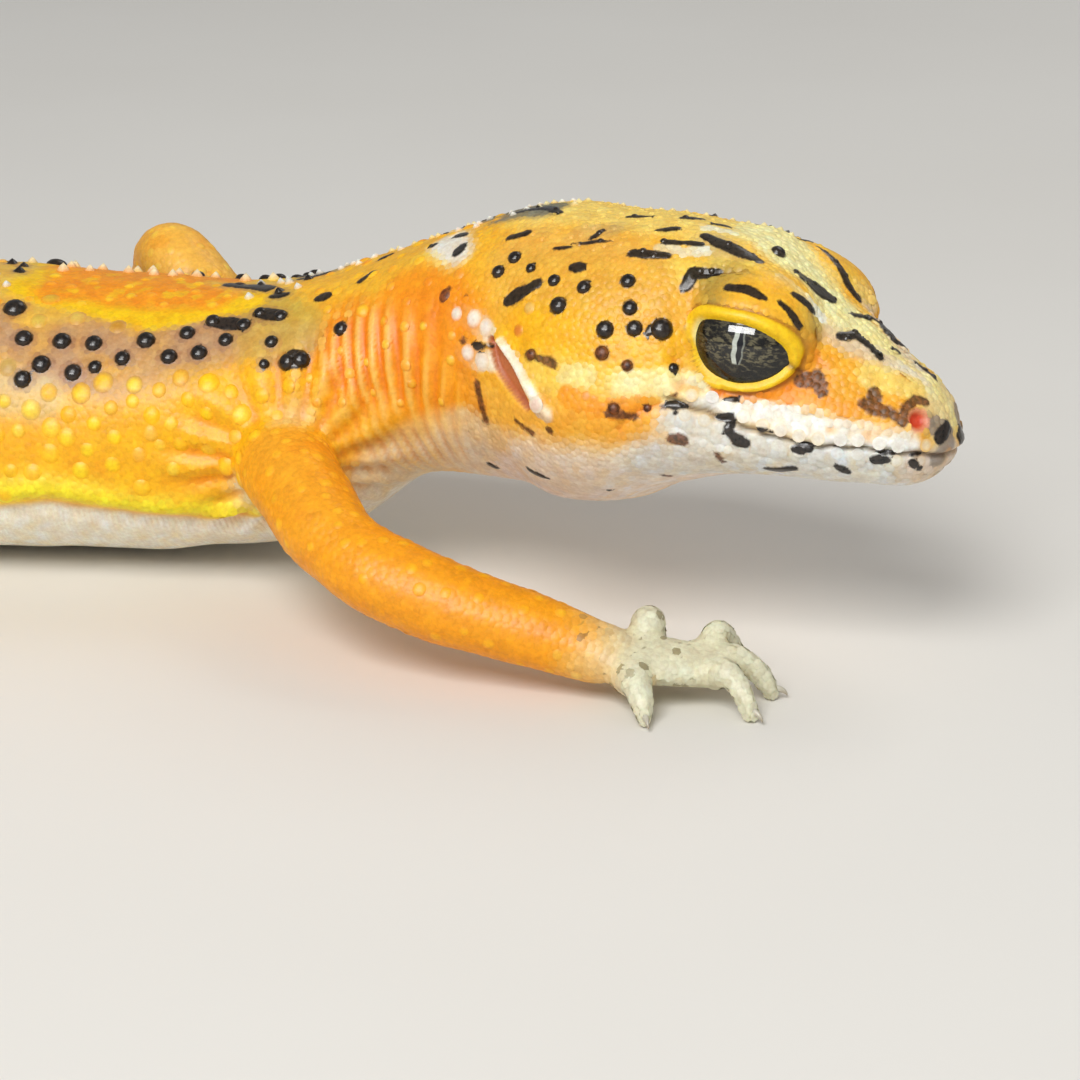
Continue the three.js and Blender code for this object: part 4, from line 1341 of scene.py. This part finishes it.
# Rings of each shape: share of its radius, share of its height, how far its own colour has come.
shapes = {
    "low": (6, [(1.0, -0.6, 1), (0.6, 0.7, 1), (0, 1.0, 1)]),
    "dome": (10, [(1.0, -0.25, 0), (0.9, 0.3, 0.2), (0.66, 0.74, 0.75), (0.34, 0.95, 1), (0, 1.0, 1)]),
    "soft": (12, [(1.0, -0.2, 0), (0.82, 0.24, 0.3), (0.56, 0.68, 0.8), (0.28, 0.93, 1), (0, 1.0, 1)]),
    "cone": (8, [(1.0, -0.3, 0), (0.7, 0.22, 0.5), (0.36, 0.64, 1), (0, 1.0, 1)]),
}


def slopeOf(field):
    # how the field changes over the skin, from its neighbours
    run = skin[edges[:, 1]] - skin[edges[:, 0]]
    change = ((field[edges[:, 1]] - field[edges[:, 0]]) / (run**2).sum(1))[:, None] * run
    total = np.zeros_like(skin)
    for k in range(3):
        total[:, k] = np.bincount(edges[:, 0], change[:, k], len(skin))
        total[:, k] += np.bincount(edges[:, 1], change[:, k], len(skin))
    slope = total / 2
    return slope * np.minimum(1, 1.2 / (np.linalg.norm(slope, axis=1, keepdims=True) + 1e-9))


def unwrapping():
    # the skin laid flat: the body by distance and angle, each limb by its length and its side
    u = along / spineLength * 0.98
    v = (angle + pi) / (2 * pi) * 0.6
    for k, limb in enumerate(limbs.values()):
        root, wrist = np.array(limb["joints"][1]), np.array(limb["joints"][-1])
        mine = (offBody > 0.5) & (np.linalg.norm(skin - (root + wrist) / 2, axis=1) < 20)
        mine &= np.sign(skin[:, 1]) == limb["side"]
        q = skin - wrist
        u = np.where(mine, 0.4 + (q @ unit(wrist - root)) * 0.012, u)
        v = np.where(mine, 0.62 + k * 0.095 + 0.09 * (q[:, 2] % 9) / 9, v)
    return np.stack([u, v], -1) * 0.99 + 0.005


slopes = {"black": slopeOf(black), "brown": slopeOf(brown)}
fields = {"black": black, "brown": brown}
unwrapped = unwrapping()


def scalePiece(name, shape, roots, radii, heights, colours, stains):
    # joined scales of one shape, each standing on its root
    sides, profile = shapes[shape]
    share, high, dyed = np.array(profile).T
    n = len(roots)
    normal = normals[roots]
    across = unit(np.cross(normal, chance.normal(size=(n, 3))))
    other = np.cross(normal, across)
    turn = np.linspace(0, 2 * pi, sides, endpoint=False)
    circle = np.stack([np.cos(turn), np.sin(turn)], -1)
    ring = np.vstack([(share[:-1, None, None] * circle).reshape(-1, 2), [[0, 0]]])
    level = np.append(np.repeat(high[:-1], sides), high[-1])
    each = len(ring)
    flat = across[:, None] * ring[None, :, :1] + other[:, None] * ring[None, :, 1:]
    offset = flat * radii[:, None, None] + normal[:, None] * (heights[:, None] * level)[..., None]
    points = (skin[roots][:, None] + offset).reshape(-1, 3)
    faces = []
    for i in range(len(share) - 2):
        for j in range(sides):
            k = (j + 1) % sides
            faces.append((i * sides + j, i * sides + k, (i + 1) * sides + k, (i + 1) * sides + j))
    last = (len(share) - 2) * sides
    fans = [(last + j, last + (j + 1) % sides, each - 1) for j in range(sides)]
    first = (np.arange(n) * each)[:, None, None]
    allFaces = (np.array(faces)[None] + first).reshape(-1, 4).tolist()
    allFaces += (np.array(fans)[None] + first).reshape(-1, 3).tolist()
    made = meshObject(name, points * millimetre, allFaces)
    ground = paint[roots][:, None, :]
    dye = np.append(np.repeat(dyed[:-1], sides), dyed[-1])[None, :, None]
    giveColour(made.data, "paint", (ground + (colours[:, None, :] - ground) * dye).reshape(-1, 3))
    reach = np.linalg.norm(ring, axis=1)
    own = radii[:, None] * (reach[None] - 1)
    for stain, field in fields.items():
        values = field[roots][:, None] + (offset * slopes[stain][roots][:, None]).sum(2)
        values = np.where((stains == stain)[:, None], np.minimum(own, values), values)
        giveValue(made.data, stain, values.ravel())
    patch = unwrapped[roots][:, None, :] + ring[None] * 0.0015
    giveMap(made.data, patch.reshape(-1, 2))
    finished(made, scaleFinish)
    triangles = n * (len(faces) * 2 + sides)
    print(name, n, "scales,", triangles, "triangles")
    assert triangles < 200000


def scattered(points, pitch):
    # a spread of the points, none closer than pitch to another
    cells = np.floor(points / pitch).astype(int).tolist()
    places = points.tolist()
    taken, kept = {}, []
    steps = [(i, j, k) for i in (-1, 0, 1) for j in (-1, 0, 1) for k in (-1, 0, 1)]
    for n in chance.permutation(len(points)).tolist():
        x, y, z = places[n]
        a, b, c = cells[n]
        held = (spot for i, j, k in steps for spot in taken.get((a + i, b + j, c + k), ()))
        if all((x - u) ** 2 + (y - v) ** 2 + (z - w) ** 2 > pitch * pitch for u, v, w in held):
            taken.setdefault((a, b, c), []).append((x, y, z))
            kept.append(n)
    return np.array(kept)


def openGround(roots):
    # the roots that no large scale stands over
    kept = []
    for root in roots.tolist():
        _, k, far = bumpTree.find(skin[root])
        if far > bumps.rows[k][1] * 0.9:
            kept.append(root)
    return np.array(kept)


def smallScales(name, zone, kind):
    pitch, high = coat[kind]
    chosen = np.flatnonzero(zone & ~bare)
    roots = openGround(chosen[scattered(skin[chosen], pitch)])
    grow = chance.uniform(0.85, 1.1, len(roots)) * pitch
    tone = np.minimum(paint[roots] * chance.uniform(0.93, 1.06, (len(roots), 1)), 1)
    scalePiece(name, "low", roots, 0.78 * grow, high * grow, tone, np.full(len(roots), ""))


# no small scales stand on the lids, openings and lips, at the floor, on the neck's folds, or on the dark
# marks ahead of the middle of the body
bare = (lidField < 1.5) | (fromEar < 0.3) | (fromNostril < 0.75) | (skin[:, 2] < 0.25)
bare |= (np.abs(fromMouth) < 0.9) & (mouthShut > 0.5) | (fromBorder < 0.5) & (along < 27)
bare |= (black < -0.03) & (along < 60) | (fromCorner < 0.3)
bare |= onNeck() > 0.3
bumpTree = kdtree.KDTree(len(bumps.rows))
for k, row in enumerate(bumps.rows):
    bumpTree.insert(skin[row[0]], k)
bumpTree.balance()
onBody = offBody < 0.35
onPaw = ~onBody & (limbDown < 0)
smallScales("crownScales", onBody & (along < 27) & (rise > 30), "crown")
smallScales("cheekScales", onBody & (along < 27) & (rise <= 30), "head")
flank = onBody & (lowness > -3)
smallScales("neckScales", flank & (along >= 27) & (along < 60), "neck")
smallScales("trunkScales", flank & (along >= 60) & (along < 104), "trunk")
smallScales("tailScales", onBody & (along >= 104), "tail")
smallScales("limbScales", ~onBody & ~onPaw, "limbs")
smallScales("pawScales", onPaw, "paws")
rows = np.array([(root, radius, high) for root, radius, high, *_ in bumps.rows])
tones = np.array([linear(row[3]) for row in bumps.rows])
stains = np.array([row[4] for row in bumps.rows])
forms = np.array([row[5] for row in bumps.rows])
for name, form in (("tubercles", "dome"), ("softTubercles", "soft"), ("tubercleCones", "cone")):
    own = forms == form
    roots = rows[own, 0].astype(int)
    scalePiece(name, form, roots, rows[own, 1], rows[own, 2], tones[own], stains[own])

iris = {
    "rings": 150, "sides": 160,
    "pupilHalf": (0.14, 0.98),  # half width and half height of the slit
    "pupilUp": 0.1,  # how high the slit sits
    "veins": (0.6, 0.25),  # millimetres along and across a vein
    "ground": (13, 11, 7), "vein": (104, 97, 72), "limbusAndLidShade": (8, 7, 5), "slit": (4, 6, 14),
    # the slit's pale edge is partly the iris's own margin, partly a painted highlight
    "border": ((150, 156, 144), (232, 238, 226)),  # of the slit, darker and paler
}


def eyeBall(name, s):
    forward, upward = radians(eye["lookForward"]), radians(eye["lookUp"])
    look = unit(np.array([np.sin(forward), s * np.cos(forward), np.sin(upward)]))
    ahead = unit(np.array([1.0, 0, 0]) - look * look[0])
    over = np.cross(look, ahead) * -s
    t = np.concatenate([np.linspace(0.004, 1.15, iris["rings"]), np.linspace(1.25, pi - 0.05, 12)])
    turn = np.linspace(0, 2 * pi, iris["sides"], endpoint=False)
    a = np.sin(t)[:, None] * np.cos(turn)[None]
    u = np.sin(t)[:, None] * np.sin(turn)[None]
    grid = a[..., None] * ahead + u[..., None] * over + np.cos(t)[:, None, None] * look
    points = (eyeCentre(s) + eye["radius"] * (grid @ headTurn.T)).reshape(-1, 3)
    faces = tubeFaces(len(t), iris["sides"], 0)
    if s > 0:
        faces = [face[::-1] for face in faces]
    made = meshObject(name, points * millimetre, faces)
    a, u = a.ravel() * eye["radius"], u.ravel() * eye["radius"] - iris["pupilUp"]
    wide, tall = iris["pupilHalf"]
    opening = wide * np.sqrt(np.clip(1 - (u / tall) ** 2, 0, 1)) * (1 + 0.18 * np.sin(u * 9))
    beyond = np.maximum(np.abs(u) - tall, 0)
    within = (np.abs(a) < opening) & (beyond == 0)
    pupil = np.hypot(np.abs(a) - opening, beyond) * np.where(within, -1, 1)
    giveValue(made.data, "pupil", pupil)
    giveValue(made.data, "ahead", a)
    giveValue(made.data, "over", u)
    return made


def eyeFinish():
    f = Finish("glossyEye")
    ahead, over, pupil = f.value("ahead"), f.value("over"), f.value("pupil")
    veinLong, veinWide = iris["veins"]
    place = f.node("ShaderNodeCombineXYZ", {}, {"X": ahead / veinLong, "Y": over / veinWide, "Z": 0.0})
    warp = f.node("ShaderNodeTexNoise", {}, {"Vector": place, "Scale": 1.2, "Detail": 2.0}, "Fac")
    bends = {"X": ahead / veinLong, "Y": over / veinWide + warp * 1.6, "Z": 0.0}
    bent = f.node("ShaderNodeCombineXYZ", {}, bends)
    look = {"Vector": bent, "Scale": 1.35, "Detail": 2.5, "Roughness": 0.55}
    veins = f.node("ShaderNodeTexNoise", {}, look, "Fac")
    pale = ((veins - 0.43) * 6).held()
    base = f.mix(pale * pale, shade(*iris["ground"]), shade(*iris["vein"]))
    # the iris darkens towards its edge: partly its own dark ring, partly painted shade of the lids over its
    # top and bottom
    limbusAndLidShade = ((ahead * ahead * 0.5 + over * over * 1.6 - 1.2) / 2.2).held()
    base = f.mix(limbusAndLidShade * 0.9, base, shade(*iris["limbusAndLidShade"]))
    # the slit's pale edge, wider and brighter behind it: partly the iris's own pale margin, partly a
    # painted highlight down the slit's side
    behindIt = (0.5 - ahead * 6).held()
    border = ((0.12 + behindIt * 0.16 - pupil) / 0.05).held() * ((1.0 - over.size()) / 0.08).held()
    paleEdgeAndGlint = f.mix(warp, *[shade(*tone) for tone in iris["border"]])
    base = f.mix(border * (behindIt * 0.65 + 0.3), base, paleEdgeAndGlint)
    base = f.mix(((0.02 - pupil) / 0.03).held(), base, shade(*iris["slit"]))
    f.set(Base_Color=base, Roughness=0.45, Specular_IOR_Level=0.1, Coat_Weight=1.0, Coat_Roughness=0.03,
          Coat_IOR=1.48)
    return f.material


glossyEye = eyeFinish()
for name, s in (("rightEyeball", -1), ("leftEyeball", 1)):
    ballPiece = finished(eyeBall(name, s), glossyEye)
    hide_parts("eye_right" if s < 0 else "eye_left")
print("eyes made")

claw = {
    "long": 0.7, "thick": 0.2, "droop": 0.6, "sides": 10, "rings": 9,
    "root": (214, 210, 192), "tip": (168, 156, 134), "streak": (160, 150, 130),
}


def clawPiece():
    points, faces, tips = [], [], []
    for limb in limbs.values():
        for digit in paws[limb["paw"]]["digits"]:
            path, radii, way = digitPath(limb, digit)
            t = np.linspace(0, 1, claw["rings"])
            line = path[-1] + way * (radii[-1] * 0.55 + claw["long"] * np.sin(t * 1.25)[:, None] / 1.1)
            line[:, 2] += 0.18 - claw["droop"] * t**2 * min(1.0, (path[-1, 2] + 0.1) / 0.8)
            size = claw["thick"] * (1 - t) ** 0.7 + 0.015
            line[:, 2] = np.maximum(line[:, 2], size + 0.02)
            faces += tubeFaces(claw["rings"], claw["sides"], sum(map(len, points)))
            points.append(roundTube(line, size * 0.8, claw["sides"], size).reshape(-1, 3))
            tips.append(np.repeat(t, claw["sides"]))
    made = meshObject("claws", np.concatenate(points) * millimetre, faces)
    giveValue(made.data, "tip", np.concatenate(tips))
    return made


def clawFinish():
    f = Finish("horn")
    streaks = f.noise(f.place(), 0.12, 3, 0.6)
    base = f.mix(f.value("tip"), shade(*claw["root"]), shade(*claw["tip"]))
    base = f.mix(streaks * 0.3, base, shade(*claw["streak"]))
    f.set(Base_Color=base, Roughness=0.3 + streaks * 0.1, Subsurface_Weight=0.2,
          Subsurface_Radius=(1.0, 0.7, 0.5), Subsurface_Scale=0.0002)
    return f.material


finished(clawPiece(), clawFinish())
print("claws made")

view = {"azimuth": 8, "elevation": 20, "distance": 170, "aim": (40.6, -8, 4.5), "lens": 102}
# name: direction from the animal (azimuth, elevation), distance, width and height, watts
lamps = {
    "keyLight": ((-14, 48), 420, (200, 200), 1.3),
    "fillLight": ((62, 28), 460, (260, 260), 0.14),
    "backLight": ((150, 50), 450, (200, 200), 0.3),
    "catchLight": ((-18, 27), 300, (250, 56), 0.95),
}


def toward(azimuth, elevation):
    # unit direction from the animal; azimuth 0 is the right side, growing towards the head
    a, e = radians(azimuth), radians(elevation)
    return Vector((np.sin(a) * np.cos(e), -np.cos(a) * np.cos(e), np.sin(e)))


daylight = {"colour": (0.95, 0.97, 1.0, 1), "strength": 0.3}
floorLook = {"reach": 2, "clouds": 60, "darker": (226, 222, 214), "paler": (234, 231, 224), "rough": 0.75}


def floorPiece():
    mesh = bpy.data.meshes.new("floor")
    reach = floorLook["reach"]  # metres
    corners = [(-reach, -reach, 0), (reach, -reach, 0), (reach, reach, 0), (-reach, reach, 0)]
    mesh.from_pydata(corners, [], [(0, 1, 2, 3)])
    made = bpy.data.objects.new("floor", mesh)
    bpy.context.scene.collection.objects.link(made)
    f = Finish("paleFloor")
    soft = f.noise(f.place(), floorLook["clouds"], 3, 0.5)
    base = f.mix(soft, shade(*floorLook["darker"]), shade(*floorLook["paler"]))
    f.set(Base_Color=base, Roughness=floorLook["rough"])
    mesh.materials.append(f.material)


def aimed(made, way, distance):
    # the lamp or camera at its distance, looking at the aim
    back = toward(*way)
    made.location = (Vector(view["aim"]) + back * distance) * millimetre
    made.rotation_euler = back.to_track_quat("Z", "Y").to_euler()
    bpy.context.scene.collection.objects.link(made)


def lampPiece(name, way, distance, size, watts):
    light = bpy.data.lights.new(name, "AREA")
    light.shape, light.energy = "RECTANGLE", watts
    light.size, light.size_y = size[0] * millimetre, size[1] * millimetre
    made = bpy.data.objects.new(name, light)
    aimed(made, way, distance)
    made.visible_diffuse = name != "catchLight"  # which only gives highlights


def cameraPiece():
    camera = bpy.data.cameras.new("camera")
    camera.lens, camera.sensor_width, camera.clip_start = view["lens"], 36, 0.005
    made = bpy.data.objects.new("camera", camera)
    aimed(made, (view["azimuth"], view["elevation"]), view["distance"])
    bpy.context.scene.camera = made


floorPiece()
for name, settings in lamps.items():
    lampPiece(name, *settings)
cameraPiece()
world = bpy.data.worlds.new("softLight")
world.use_nodes = True
background = world.node_tree.nodes["Background"]
background.inputs["Color"].default_value = daylight["colour"]
background.inputs["Strength"].default_value = daylight["strength"]
bpy.context.scene.world = world
bpy.context.scene.view_settings.view_transform = "Standard"
print("stage set")
